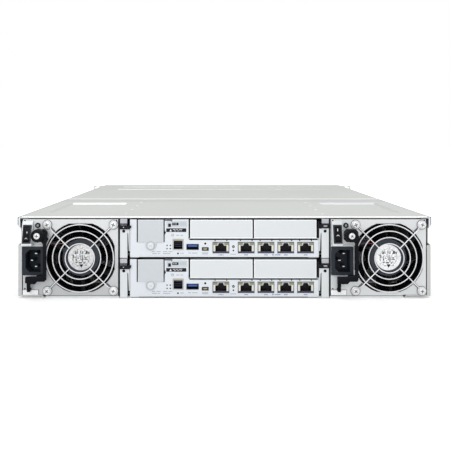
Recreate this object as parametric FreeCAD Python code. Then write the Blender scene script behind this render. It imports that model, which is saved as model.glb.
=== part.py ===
"""Two-unit rack disk shelf enclosure, built as the pieces that come apart on a bench.

Millimetres.  +Z is up, -Y is the service side with the two power modules and the two controllers,
+Y is the side with the twelve drive trays.  The origin is the middle of the base, half way along
the depth of the chassis.
"""
import FreeCAD
import Part

import math
import os

V = FreeCAD.Vector

# ---------------------------------------------------------------- driving dimensions
DEPTH = 500.0               # chassis, service edge to drive-side edge
REAR = -DEPTH / 2           # plane of the service side
FRONT = DEPTH / 2           # plane of the drive side
SHEET = 1.0                 # chassis steel

COVER_TOP = 88.2            # upper face of the service-side cover
FRONT_COVER_TOP = 88.8      # upper face of the drive-side cover, which laps over the other
COVER_HALF = 219.2          # half width of both covers
COVER_UNDER = COVER_TOP - 1.2
SEAM_Y = REAR + 206.0       # where the covers meet

SIDE_HALF = 222.8           # outer face of the lower side wall
GROOVE_HALF = 220.2         # outer face of the wall inside the slide-rail groove
HOOK_HALF = 223.6           # outer face of the upper lip
HOOK_TOP = 87.4
GROOVE_LOW, GROOVE_HIGH = 60.0, 74.5
BASE_STEP_HALF = 195.0      # the base is lower between these
BASE_STEP = 2.2
LIP_HALF, LIP_TOP = 193.0, 1.9           # turned-up edge of the base under the power modules
BAY_CUT_DEEP = 9.0          # the base is cut back under the controllers, clear of the levers' heels
RAIL_HOLE_R = 2.1
RAIL_HOLE_Z = 67.2
RAIL_HOLE_PITCH = 360.0

DIVIDER_IN, DIVIDER_OUT = 113.7, 114.5   # bay walls beside the controllers
MIDPLANE_Y = 64.0
MIDPLANE_T = 3.0

EAR_FACE_HALF = 241.3       # 482.6 mm across the ears
EAR_SLOT_HALF = 465.12 / 2
EAR_SLOT_RISE = 76.2        # between the two slots of one ear
EAR_MID_Z = 44.1
EAR_Y = FRONT - 4.0         # rear face of the ear, which lies on the rack post
EAR_T = 2.0

CONTROLLER_Z = (2.0, 44.9)  # underside of the lower and the upper controller
CONTROLLER_NAMES = ("lower", "upper")
FACE_HALF = 102.0           # controller faceplate
FACE_TALL = 39.9
POCKET_Y = REAR + 12.0      # back wall of the lever pockets
CANISTER_HALF = 112.6
CANISTER_END = 54.0
PORT_BASE = 3.2             # top of the board above the controller's underside
JACK_CENTRES = (-3.8, 23.5, 44.9, 66.3, 87.7)
JACK_W, JACK_H, JACK_D = 17.6, 12.2, 16.0
BATTERY_MID, BATTERY_W = -79.5, 28.9

LEVER_OUT, LEVER_IN = 112.6, 104.7
LEVER_PIVOT_Y, LEVER_PIVOT_Z = REAR + 1.5, 6.0   # z above the controller's underside
LEVER_HEEL, FLANGE_FOOT = -1.4, 2.3              # lower ends of a lever, from the same level
LEVER_PIN_R = 1.4
RUNNING = 0.08              # radial clearance of a pin in its hole

PSU_MID = 166.4             # middle of each power module, either side
PSU_HALF = 51.4
PSU_LOW, PSU_HIGH = 3.4, 84.9
PSU_BACK_HIGH = 82.6        # lower behind the fan, under the pressed recess of the cover
PSU_END = 50.0
FAN_U, FAN_Z = 10.9, 43.4   # fan axis, from the module's middle line
FAN_HALF, FAN_DEEP = 39.2, 32.0
FAN_BORE = 38.2
FAN_HOLE = 35.75            # fixing holes from the axis, each way
FAN_FRONT = 1.0             # fan frame's face, behind the service plane
GUARD_RINGS = (15.7, 22.4, 29.3, 36.2)
WIRE = 0.6                  # half thickness of the guard wire
BLADES = 7
SHAFT_R = 1.5

SWITCH_U, SWITCH_TOP, SWITCH_LOW = -45.1, 79.4, 59.8
SLOPE_U = (-51.0, -39.8)
SLOPE_TOP_Z, SLOPE_LOW_Z = 83.2, 58.4
SLOPE_IN, SLOPE_OUT = 2.6, 9.0           # how far the switch seat stands out, above and below
INLET_U = (-51.4, -27.6)
INLET_Z = (25.2, 55.7)
INLET_OUT, INLET_FLANGE = 1.4, 2.2       # raised seat, and the inlet's rim on it
INLET_MOUTH = (-39.4, 40.5, 8.2, 12.2)   # middle along and up, half width, half height
INLET_CORNER = 4.6                       # the two corners cut off the mouth
HANDLE_PIVOT = (-43.5, 3.0, 10.0)        # along the face, out of the face, height
HANDLE_PIN_R = 0.9
KNOB = (-31.9, 69.0, 6.9)                # middle along and up, radius

BAY_COLUMNS, BAY_ROWS = 4, 3
COLUMN_PITCH = 109.0
ROW_PITCH = 27.4
ROW_BASE = 3.4              # underside of the lowest tray
TRAY_W, TRAY_H = 106.4, 26.2
BEZEL_Y = (FRONT - 14.0, FRONT + 4.0)
DRIVE_W, DRIVE_H, DRIVE_L = 101.6, 25.4, 147.0
DRIVE_REAR = 86.0
TRAY_REAR = 80.0
TRAY_PIVOT_U, TRAY_PIVOT_Y = 47.6, FRONT + 7.6
TRAY_LEVER_H = 9.0
TRAY_PIN_R = 0.9


# ---------------------------------------------------------------- helpers
def block(x0, x1, y0, y1, z0, z1):
    """A box between two corners."""
    return Part.makeBox(x1 - x0, y1 - y0, z1 - z0, V(x0, y0, z0))


def rod(radius, start, end):
    """A round bar between two points."""
    a, b = V(*start), V(*end)
    return Part.makeCylinder(radius, (b - a).Length, a, b - a)


def prism(points, axis, low, high):
    """A polygon given in the two axes across `axis`, drawn out along it from low to high."""
    place = {
        "x": lambda a, b: V(low, a, b),
        "y": lambda a, b: V(a, low, b),
        "z": lambda a, b: V(a, b, low),
    }[axis]
    along = {"x": V(1, 0, 0), "y": V(0, 1, 0), "z": V(0, 0, 1)}[axis]
    corners = [place(a, b) for a, b in points]
    face = Part.Face(Part.makePolygon(corners + corners[:1]))
    return face.extrude(along * (high - low))


def ring_points(radius, sides, a=0.0, b=0.0):
    """Corners of a regular polygon around (a, b), with flats facing the two axes."""
    step = 2 * math.pi / sides
    return [(a + radius * math.cos((i + 0.5) * step), b + radius * math.sin((i + 0.5) * step))
            for i in range(sides)]


def bar(sides, radius, a, b, low, high, axis="y"):
    """A many-sided bar along one axis: a plain round piece that needs no true cylinder."""
    return prism(ring_points(radius, sides, a, b), axis, low, high)


def pin(radius, a, b, low, high, axis):
    """A small hinge pin, eight-sided."""
    return bar(8, radius, a, b, low, high, axis)


def pin_hole(radius, a, b, low, high, axis):
    """The hole that such a pin turns in, clear of its corners all the way round."""
    return bar(8, (radius + RUNNING) / math.cos(math.pi / 8), a, b, low, high, axis)


def chamfered(x0, x1, z0, z1, c, y0, y1):
    """A slab with its four corners cut off, seen along Y."""
    return prism([(x0 + c, z0), (x1 - c, z0), (x1, z0 + c), (x1, z1 - c),
                  (x1 - c, z1), (x0 + c, z1), (x0, z1 - c), (x0, z0 + c)], "y", y0, y1)


def facet_loft(sections):
    """A solid skinned over sections with equal corner counts, in flat triangles."""
    faces = [Part.Face(Part.makePolygon(list(end) + [end[0]])) for end in (sections[0], sections[-1])]
    for one, two in zip(sections, sections[1:]):
        for i in range(len(one)):
            j = (i + 1) % len(one)
            for corner in ((one[i], one[j], two[j]), (one[i], two[j], two[i])):
                faces.append(Part.Face(Part.makePolygon(list(corner) + [corner[0]])))
    solid = Part.Solid(Part.Shell(faces))
    if solid.Volume < 0:
        solid.reverse()
    return solid


def bent_sheet(path, thickness):
    """Outline of a folded sheet: the path is one face, the other lies to the right of it."""
    inner = []
    for i, (x, z) in enumerate(path):
        normals = []
        for j in (i - 1, i):
            if 0 <= j < len(path) - 1:
                dx, dz = path[j + 1][0] - path[j][0], path[j + 1][1] - path[j][1]
                length = math.hypot(dx, dz)
                normals.append((dz / length, -dx / length))
        nx, nz = sum(n[0] for n in normals), sum(n[1] for n in normals)
        scale = thickness * len(normals) / (nx * nx + nz * nz)
        if len(normals) == 2:
            scale = 2 * thickness / (nx * nx + nz * nz)
        inner.append((x + nx * scale, z + nz * scale))
    return list(path) + inner[::-1]


def fuse(*shapes):
    """One solid out of several that meet."""
    whole = shapes[0].fuse(list(shapes[1:]))
    return whole.removeSplitter()


def cut(shape, *tools):
    """The shape with all the tools taken out of it."""
    return shape.cut(list(tools))


def mirrored(shape):
    """The same piece on the other side of the middle plane."""
    return shape.mirror(V(0, 0, 0), V(1, 0, 0))


def save(name, *shapes):
    """Writes one node."""
    solids = [s for shape in shapes for s in shape.Solids]
    Part.makeCompound(solids).exportStep(os.path.join("parts", name + ".step"))


# ---------------------------------------------------------------- chassis
def chassis_tray():
    """Base and both side walls, folded from one sheet, with a groove each side for a slide rail.

    The upper folds are open at the service end, where the hollow lip above the groove shows.
    """
    right = [
        (212.0, COVER_UNDER), (219.7, COVER_UNDER), (219.7, HOOK_TOP), (HOOK_HALF, HOOK_TOP),
        (HOOK_HALF, GROOVE_HIGH + 4.5), (GROOVE_HALF, GROOVE_HIGH), (GROOVE_HALF, GROOVE_LOW),
        (SIDE_HALF, GROOVE_LOW - 2.6), (SIDE_HALF, BASE_STEP),
        (BASE_STEP_HALF + 2.0, BASE_STEP), (BASE_STEP_HALF, 0.0),
    ]
    left = [(-x, z) for x, z in reversed(right)]
    tray = prism(bent_sheet(right + left, SHEET), "y", REAR, FRONT)
    inner = PSU_MID + PSU_HALF + 1.0
    lower_return = block(inner, SIDE_HALF - 0.5, REAR, REAR + SHEET, BASE_STEP + 0.5, GROOVE_LOW - 3.0)
    lip = block(-LIP_HALF, LIP_HALF, REAR, REAR + SHEET, 0.0, LIP_TOP)
    tray = fuse(tray, lip, lower_return, mirrored(lower_return))
    holes = [
        rod(RAIL_HOLE_R, (side * 215, along * RAIL_HOLE_PITCH / 2, RAIL_HOLE_Z),
            (side * 226, along * RAIL_HOLE_PITCH / 2, RAIL_HOLE_Z))
        for side in (-1, 1) for along in (-1, 1)
    ]
    bay_cut = block(-DIVIDER_IN, DIVIDER_IN, REAR - 1, REAR + BAY_CUT_DEEP, -1, LIP_TOP + 1)
    return cut(tray, *holes, bay_cut)


def pressed_recess(x0, x1, y0, y1, top, deep, under):
    """A stamped recess in a cover: the hollow to take out and the pan to put under it."""
    slope = deep
    def pan(grow, z_top, z_low):
        lower = Part.makePolygon([V(x0 + slope - grow, y0 + slope - grow, z_low),
                                  V(x1 - slope + grow, y0 + slope - grow, z_low),
                                  V(x1 - slope + grow, y1 - slope + grow, z_low),
                                  V(x0 + slope - grow, y1 - slope + grow, z_low),
                                  V(x0 + slope - grow, y0 + slope - grow, z_low)])
        upper = Part.makePolygon([V(x0 - grow, y0 - grow, z_top), V(x1 + grow, y0 - grow, z_top),
                                  V(x1 + grow, y1 + grow, z_top), V(x0 - grow, y1 + grow, z_top),
                                  V(x0 - grow, y0 - grow, z_top)])
        return Part.makeLoft([lower, upper], True, True)
    return pan(0.0, top, top - deep), pan(SHEET, under, under - deep + 0.2)


def cover(y0, y1, top, recesses):
    """A flat cover with pressed recesses, given as x0, x1, y0, y1 and depth."""
    plate = block(-COVER_HALF, COVER_HALF, y0, y1, top - 1.2, top)
    pans, hollows = [], []
    for x0, x1, ya, yb, deep in recesses:
        hollow, pan = pressed_recess(x0, x1, ya, yb, top, deep, top - 1.1)
        hollows.append(hollow)
        pans.append(pan)
    return cut(fuse(plate, *pans), *hollows) if pans else plate


def rear_top_cover():
    """Service-side cover: a recess over each power module and a hem along the service edge."""
    over_psu = [(side_low, side_high, REAR + 38.0, REAR + 154.0, 2.2)
                for side_low, side_high in ((-201.5, -126.0), (126.0, 201.5))]
    plate = cover(REAR, SEAM_Y, COVER_TOP, over_psu)
    hem = block(-211.6, 211.6, REAR, REAR + 1.2, COVER_TOP - 1.8, COVER_TOP - 0.6)
    return fuse(plate, hem)


def front_top_cover():
    """Drive-side cover, one sheet thickness higher at its lap, stiffened by two long beads."""
    beads = [(-177.5, 177.5, y - 5.0, y + 5.0, 1.6) for y in (REAR + 387.0, REAR + 445.0)]
    plate = cover(SEAM_Y, FRONT, FRONT_COVER_TOP, beads)
    lap = block(-COVER_HALF, COVER_HALF, SEAM_Y + 0.2, FRONT, COVER_UNDER, FRONT_COVER_TOP - 1.1)
    window = block(-208.0, 208.0, SEAM_Y + 12.0, FRONT - 12.0, COVER_UNDER - 1, FRONT_COVER_TOP - 1.2)
    return fuse(plate, cut(lap, window))


def rack_ears():
    """One bracket each side, with the two slots that rack screws go through."""
    face = block(HOOK_HALF + 0.1, EAR_FACE_HALF, EAR_Y, EAR_Y + EAR_T, 0.6, 87.6)
    leg = block(SIDE_HALF, SIDE_HALF + 1.6, EAR_Y - 34.0, EAR_Y, 4.0, 56.0)
    ear = fuse(face, leg)
    slots = []
    for dz in (-EAR_SLOT_RISE / 2, EAR_SLOT_RISE / 2):
        z = EAR_MID_Z + dz
        bar = block(EAR_SLOT_HALF - 2.0, EAR_SLOT_HALF + 2.0, EAR_Y - 1, EAR_Y + EAR_T + 1, z - 3.4, z + 3.4)
        ends = [rod(3.4, (EAR_SLOT_HALF + s, EAR_Y - 1, z), (EAR_SLOT_HALF + s, EAR_Y + EAR_T + 1, z))
                for s in (-2.0, 2.0)]
        slots += [bar, *ends]
    ear = cut(ear, *slots)
    shroud = cut(
        chamfered(224.8, EAR_FACE_HALF - 0.4, 17.0, 71.0, 2.4, EAR_Y + EAR_T, EAR_Y + EAR_T + 11.0),
        block(227.2, EAR_FACE_HALF + 1, EAR_Y, EAR_Y + EAR_T + 8.6, 19.4, 68.6),
    )
    return [ear, mirrored(ear), shroud, mirrored(shroud)]


def bay_walls():
    """Two upright walls between the power bays and the controller bay, and the shelf between controllers."""
    wall = block(DIVIDER_IN, DIVIDER_OUT, REAR + 1.4, MIDPLANE_Y - 2.0, SHEET, COVER_UNDER)
    flange = block(104.6, DIVIDER_IN + 0.4, REAR + 14.0, SEAM_Y - 4.0, COVER_UNDER - 0.8, COVER_UNDER)
    wall = fuse(wall, flange)
    shelf_z = CONTROLLER_Z[1] - 1.6
    shelf = fuse(
        block(-103.4, 103.4, REAR + 4.0, MIDPLANE_Y - 4.0, shelf_z, shelf_z + 1.0),
        block(-DIVIDER_IN, DIVIDER_IN, REAR + 18.0, MIDPLANE_Y - 4.0, shelf_z, shelf_z + 1.0),
    )
    return [wall, mirrored(wall), shelf]


def drive_cage():
    """Uprights between the columns of drive bays, with the ledges that the trays slide on."""
    low, high = SHEET, COVER_UNDER - 1.0
    y0, y1 = MIDPLANE_Y + MIDPLANE_T + 0.5, FRONT - 16.0
    uprights = [block(x - 0.5, x + 0.5, y0, y1, low, high)
                for x in (-COLUMN_PITCH, 0.0, COLUMN_PITCH)]
    uprights += [block(x - 0.5, x + 0.5, y0, y1, BASE_STEP + SHEET, COVER_UNDER - SHEET)
                 for x in (-2 * COLUMN_PITCH, 2 * COLUMN_PITCH)]
    cage = []
    for x, upright in zip((-1, 0, 1, -2, 2), uprights):
        ledges = []
        for row in range(1, BAY_ROWS):
            z = ROW_BASE + row * ROW_PITCH - 1.0
            left = 0.0 if x == -2 else 4.0
            right = 0.0 if x == 2 else 4.0
            ledges.append(block(x * COLUMN_PITCH - left - 0.3, x * COLUMN_PITCH + right + 0.3,
                                y0 + 6.0, y1, z, z + 0.8))
        cage.append(fuse(upright, *ledges))
    return cage


def midplane():
    """Board across the chassis with a drive connector for every bay and the module connectors."""
    y0, y1 = MIDPLANE_Y, MIDPLANE_Y + MIDPLANE_T
    board = block(-216.0, 216.0, y0, y1, 4.0, 85.0)
    vents = []
    for column in range(BAY_COLUMNS):
        x, _ = bay_centre(column, 0)
        vents.append(block(x + 2.0, x + 44.0, y0 - 1, y1 + 1, 10.0, 79.0))
    board = cut(board, *vents)
    sockets = []
    for column in range(BAY_COLUMNS):
        for row in range(BAY_ROWS):
            x, z = bay_centre(column, row)
            sockets.append(block(x - 44.0, x - 3.0, y1, DRIVE_REAR - 1.0, z - 10.0, z - 4.4))
    for base in CONTROLLER_Z:
        sockets.append(block(-60.0, 60.0, CANISTER_END + 1.0, y0, base + 5.0, base + 14.0))
    for side in (-1, 1):
        sockets.append(block(side * PSU_MID - 30.0, side * PSU_MID + 30.0, PSU_END + 1.0, y0, 26.0, 36.0))
    return [board, *sockets]


def cover_fasteners():
    """Rivets that hold the bay walls to the cover."""
    made = []
    for side in (-1, 1):
        for y in (20.0, 65.0, 109.0, 154.0, 197.0):
            x = side * 108.6
            made.append(bar(6, 2.2, x, REAR + y, COVER_TOP, COVER_TOP + 0.6, "z"))
    return made


# ---------------------------------------------------------------- drive trays
def bay_centre(column, row):
    """Middle of one drive bay: x, and the height of the tray's middle."""
    return (column - 1.5) * COLUMN_PITCH, ROW_BASE + row * ROW_PITCH + TRAY_H / 2


def drive_tray(column, row):
    """A tray with its disk drive: bezel with air slots, two side runners, and the drive between them."""
    x, z = bay_centre(column, row)
    half_w, half_h = TRAY_W / 2, TRAY_H / 2
    y0, y1 = BEZEL_Y
    bezel = block(x - half_w, x + half_w, y0, y1, z - half_h, z + half_h)
    hollow = block(x - half_w + 2.0, x + half_w - 2.0, y0 - 1, y1 - 2.4, z - half_h + 2.0, z + half_h - 2.0)
    slots = [block(x + u - 11.6, x + u + 11.6, y1 - 4, y1 + 1, z + 0.8, z + half_h - 2.6)
             for u in (-30.0, -4.0, 22.0)]
    runners = [block(x + s * 52.2 - 1.0, x + s * 52.2 + 1.0, TRAY_REAR, y0 + 1.0, z - half_h, z + 4.0)
               for s in (-1, 1)]
    px, py = x + TRAY_PIVOT_U, TRAY_PIVOT_Y
    lugs = [block(px - 1.9, px + 1.9, y1 - 1, py + 1.9, z + low, z + low + 1.6) for low in (-12.3, -1.1)]
    lug = fuse(pin(TRAY_PIN_R, px, py, z - 11.0, z - 0.8, "z"), *lugs)
    catch_slot = block(x - 48.4, x - 44.2, y1 - 3, y1 + 1, z - 8.4, z - 3.4)
    carrier = fuse(cut(bezel, hollow, catch_slot, *slots), *runners, lug)
    drive = block(x - DRIVE_W / 2, x + DRIVE_W / 2, DRIVE_REAR, DRIVE_REAR + DRIVE_L,
                  z - half_h + 0.7, z - half_h + 0.7 + DRIVE_H)
    return [carrier, drive]


def tray_lever(column, row):
    """The bar that locks a tray: hinged at one end, with a spring catch moulded at the other."""
    x, z = bay_centre(column, row)
    px, py = x + TRAY_PIVOT_U, TRAY_PIVOT_Y
    low, high = z - 5.9 - TRAY_LEVER_H / 2, z - 5.9 + TRAY_LEVER_H / 2
    y0, y1 = BEZEL_Y[1] + 0.6, BEZEL_Y[1] + 7.0
    outline = [(px + 2.4, y0 + 0.8), (px + 2.4, y1 - 2.2), (px - 2.0, y1), (x - 36.0, y1),
               (x - 46.0, y1 - 3.4), (x - 48.6, y1 - 3.4), (x - 48.6, y0), (px + 1.2, y0)]
    beam = prism(outline, "z", low, high)
    bore = pin_hole(TRAY_PIN_R, px, py, low - 1, high + 1, "z")
    tooth = block(x - 47.0, x - 45.6, BEZEL_Y[1] - 1.8, y0 + 0.5, z - 7.5, z - 4.3)
    return cut(fuse(beam, tooth), bore)


# ---------------------------------------------------------------- controllers
def canister(base):
    """Sheet-metal controller case: floor, side walls, faceplate with its port openings, lever pockets."""
    floor = fuse(
        block(-FACE_HALF, FACE_HALF, REAR + 0.5, POCKET_Y + 1.0, base, base + 1.0),
        block(-CANISTER_HALF, CANISTER_HALF, POCKET_Y, CANISTER_END, base, base + 1.0),
    )
    sides, pockets = [], []
    for s in (-1, 1):
        x0, x1 = sorted((s * (CANISTER_HALF - 1.0), s * CANISTER_HALF))
        sides.append(block(x0, x1, POCKET_Y, CANISTER_END, base, base + 37.0))
        x0, x1 = sorted((s * (FACE_HALF - 1.0), s * CANISTER_HALF))
        pockets.append(block(x0, x1, POCKET_Y, POCKET_Y + 1.0, base, base + 37.0))
        x0, x1 = sorted((s * (FACE_HALF - 1.0), s * FACE_HALF))
        pockets.append(block(x0, x1, REAR + 0.5, POCKET_Y + 1.0, base, base + 37.0))
        pockets.append(lever_post(base, s))
    slot_floor = block(-38.9, FACE_HALF - 0.5, REAR + 0.8, REAR + 70.0, base + 18.9, base + 19.7)
    slot_wall = block(-38.9, -38.1, REAR + 0.8, REAR + 70.0, base + 18.9, base + 37.0)
    battery_floor = fuse(
        block(-95.0, -64.0, REAR + 0.8, REAR + 122.0, base + 15.9, base + 16.7),
        block(-CANISTER_HALF + 0.5, -64.0, POCKET_Y + 0.5, REAR + 122.0, base + 15.9, base + 16.7),
    )
    board_rails = [block(x - 1.8, x + 1.8, REAR + 24.0, CANISTER_END - 8.0, base + 0.9, base + 1.8)
                   for x in (-100.0, 100.0)]
    face = block(-FACE_HALF, FACE_HALF, REAR, REAR + 1.0, base, base + FACE_TALL)
    y0, y1 = REAR - 1, REAR + 1.2
    openings = [
        block(-92.5, 90.6, y0, y1, base - 1, base + 0.7),
        block(BATTERY_MID - BATTERY_W / 2, BATTERY_MID + BATTERY_W / 2, y0, y1, base + 15.2, base + 41),
        block(-38.0, FACE_HALF + 1, y0, y1, base + 19.7, base + 41),
        block(-38.0, FACE_HALF - 1.0, y0, y1, base + 17.6, base + 18.8),
        block(-55.9, -44.1, y0, y1, base + 6.8, base + 18.8),
        block(-41.1, -27.7, y0, y1, base + 7.0, base + 13.4),
        block(-24.4, -17.0, y0, y1, base + 6.0, base + 9.9),
    ]
    openings += [block(x - JACK_W / 2 - 0.2, x + JACK_W / 2 + 0.2, y0, y1, base + 3.1, base + 15.6)
                 for x in JACK_CENTRES]
    small = [(-50.2, 3.1, 1.0), (9.7, 10.5, 1.3)]
    holes = [bar(6, r, x, base + z, y0, y1) for x, z, r in small]
    case = fuse(floor, face, slot_floor, slot_wall, battery_floor, *board_rails, *sides, *pockets)
    return cut(case, *openings, *holes)


def lever_post(base, side):
    """Lug and pin that a lever turns on, standing out of the pocket's back wall."""
    y, z = LEVER_PIVOT_Y, base + LEVER_PIVOT_Z
    mid = side * (LEVER_OUT + LEVER_IN) / 2
    post = prism([(POCKET_Y + 0.5, z - 1.6), (y, z - 1.6), (y - 1.2, z - 1.0), (y - 1.2, z + 1.0),
                  (y, z + 1.6), (POCKET_Y + 0.5, z + 1.6)], "x", mid - 1.2, mid + 1.2)
    return fuse(post, pin(LEVER_PIN_R, y, z, mid - 3.9, mid + 3.9, "x"))


def controller_lever(base, side):
    """Pull lever: a channel that turns on its pin, a dark catch across it and a grip block on top."""
    def at(x):
        return side * x
    low, foot, high = base + LEVER_HEEL, base + FLANGE_FOOT, base + 40.6
    lift = 0.7 * side
    wing = FACE_HALF + 0.3
    web = prism([(at(LEVER_OUT), low), (at(LEVER_OUT), base + 30.2), (at(wing), base + 30.2),
                 (at(wing), base + 6.0), (at(wing + 0.8), base + 6.0), (at(wing + 1.5), base + 24.4),
                 (at(LEVER_IN), base + 26.0), (at(LEVER_IN), low)],
                "y", REAR - 1.2, REAR - 0.2)
    head_web = prism([(at(LEVER_OUT), base + 30.0), (at(LEVER_OUT), base + 34.4),
                      (at(LEVER_IN + 1.2), base + 34.4), (at(LEVER_IN + 1.2), base + 30.0)],
                     "y", REAR - 0.4, REAR + 0.6)
    flanges = []
    for x in (LEVER_OUT - 0.5, LEVER_IN + 1.3):
        x0, x1 = sorted((at(x - 0.5), at(x + 0.5)))
        flanges.append(prism(
            [(REAR - 0.4, foot), (REAR - 0.4, base + 34.4), (REAR + 3.0, base + 34.4),
             (REAR + 6.5, base + 22.0), (REAR + 6.5, foot)], "x", x0, x1))
    y, z = LEVER_PIVOT_Y, base + LEVER_PIVOT_Z
    x0, x1 = sorted((at(LEVER_IN - 1.5), at(LEVER_OUT + 3)))
    bore = pin_hole(LEVER_PIN_R, y, z, x0, x1, "x")
    mid = at((LEVER_OUT + LEVER_IN) / 2)
    screw_hole = bar(8, 1.75, mid, base + 27.4, REAR - 3, REAR + 1)
    channel = cut(fuse(web, head_web, *flanges), bore, screw_hole)
    catch_low, catch_high = base + 30.3 + lift, base + 34.2 + lift
    catch = prism([(at(100.6), catch_low + 1.6), (at(102.6), catch_low), (at(LEVER_OUT), catch_low),
                   (at(LEVER_OUT + 0.9), catch_low + 1.2), (at(LEVER_OUT + 0.9), catch_high - 1.2),
                   (at(LEVER_OUT), catch_high), (at(100.6), catch_high)], "y", REAR - 3.2, REAR - 1.2)
    x0, x1 = sorted((at(LEVER_IN + 0.4), at(LEVER_OUT - 0.1)))
    grip = fuse(block(x0, x1, REAR - 1.2, REAR + 3.0, base + 35.1, high),
                block(x0, x1, REAR - 1.2, REAR - 0.4, base + 34.0, base + 35.5))
    return [channel, catch, grip]


def controller_board(base):
    """Main board with its processor cooler, memory, power stage and midplane plugs."""
    z = base + 1.8
    board = fuse(block(-108.0, 108.0, POCKET_Y + 3.0, CANISTER_END - 4.0, z, z + 1.4),
                 block(-98.0, 98.0, REAR + 1.4, POCKET_Y + 3.0, z, z + 1.4))
    top = z + 1.4
    fins = [block(-20.0, 30.0, -130.0 + 8.0 * i, -128.0 + 8.0 * i, top + 4.0, top + 26.0) for i in range(6)]
    cooler = fuse(block(-20.0, 30.0, -130.0, -88.0, top, top + 4.5), *fins)
    memory = [block(-58.0, 75.0, -60.0 + 12.0 * i, -56.0 + 12.0 * i, top, top + 27.0) for i in range(2)]
    plug = block(-60.0, 60.0, CANISTER_END - 14.0, CANISTER_END + 0.6, top + 1.8, top + 10.8)
    plug_foot = block(-58.0, 58.0, CANISTER_END - 14.0, CANISTER_END - 5.0, top, top + 1.8)
    return [board, cooler, *memory, fuse(plug, plug_foot)]


def jack(x, base):
    """A network jack: shielded body with the stepped mouth that a latching plug goes into."""
    z = base + PORT_BASE
    body = block(x - JACK_W / 2, x + JACK_W / 2, REAR - 0.3, REAR + JACK_D, z, z + JACK_H)
    mouth = prism([(x - 6.0, z + 1.6), (x + 6.0, z + 1.6), (x + 6.0, z + 8.4), (x + 3.3, z + 8.4),
                   (x + 2.2, z + 11.2), (x - 2.2, z + 11.2), (x - 3.3, z + 8.4), (x - 6.0, z + 8.4)],
                  "y", REAR - 1, REAR + 13.0)
    return cut(body, mouth)


def port_row(base):
    """All the sockets of one controller's port strip."""
    z = base + PORT_BASE
    wide_port = cut(block(-55.7, -44.3, REAR - 0.3, REAR + 20.0, z, base + 18.6),
                    block(-54.9, -45.1, REAR - 1, REAR + 16.0, base + 7.8, base + 17.4),
                    block(-57, -43, REAR - 1, REAR + 1.4, z - 1, base + 7.0))
    usb = fuse(
        cut(block(-40.9, -27.9, REAR - 0.3, REAR + 14.0, z, base + 13.2),
            block(-40.3, -28.5, REAR - 1, REAR + 11.0, base + 7.8, base + 12.6),
            block(-42, -27, REAR - 1, REAR + 1.4, z - 1, base + 7.2)),
        block(-39.6, -29.2, REAR + 0.4, REAR + 11.5, base + 10.4, base + 12.2),
    )
    mini = cut(block(-24.2, -17.2, REAR - 0.3, REAR + 9.0, z, base + 9.7),
               block(-23.7, -17.7, REAR - 1, REAR + 7.0, base + 6.7, base + 9.2),
               block(-25, -16, REAR - 1, REAR + 1.4, z - 1, base + 6.2))
    return [wide_port, usb, mini, *[jack(x, base) for x in JACK_CENTRES]]


def slot_blanks(base):
    """Two blanking plates over the host-board slots, each a shallow pan turned outwards."""
    made = []
    for x0, x1 in ((-37.0, 30.4), (32.0, 99.4)):
        pan = block(x0, x1, REAR - 0.4, REAR + 9.0, base + 19.7, base + 39.4)
        made.append(cut(pan, block(x0 + 1.0, x1 - 1.0, REAR + 0.6, REAR + 10.0, base + 20.7, base + 38.4)))
    return made


def battery_module(base):
    """Plug-in backup battery: its cover plate with a round tab, the pack behind it and the captive screw."""
    half = BATTERY_W / 2 - 0.7
    y0 = REAR - 0.8
    plate = block(BATTERY_MID - half, BATTERY_MID + half, y0, REAR - 0.1, base + 15.4, base + 39.6)
    tab = fuse(bar(12, 6.0, BATTERY_MID, base + 11.8, y0, REAR - 0.1),
               block(BATTERY_MID - 6.0, BATTERY_MID + 6.0, y0, REAR - 0.1, base + 11.8, base + 16.0))
    pack = block(BATTERY_MID - half + 1.0, BATTERY_MID + half - 1.0, REAR - 0.3, REAR + 118.0,
                 base + 17.0, base + 38.0)
    screw = bar(8, 3.1, BATTERY_MID, base + 11.8, y0 - 2.2, y0)
    return [fuse(plate, tab, pack), screw]


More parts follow.
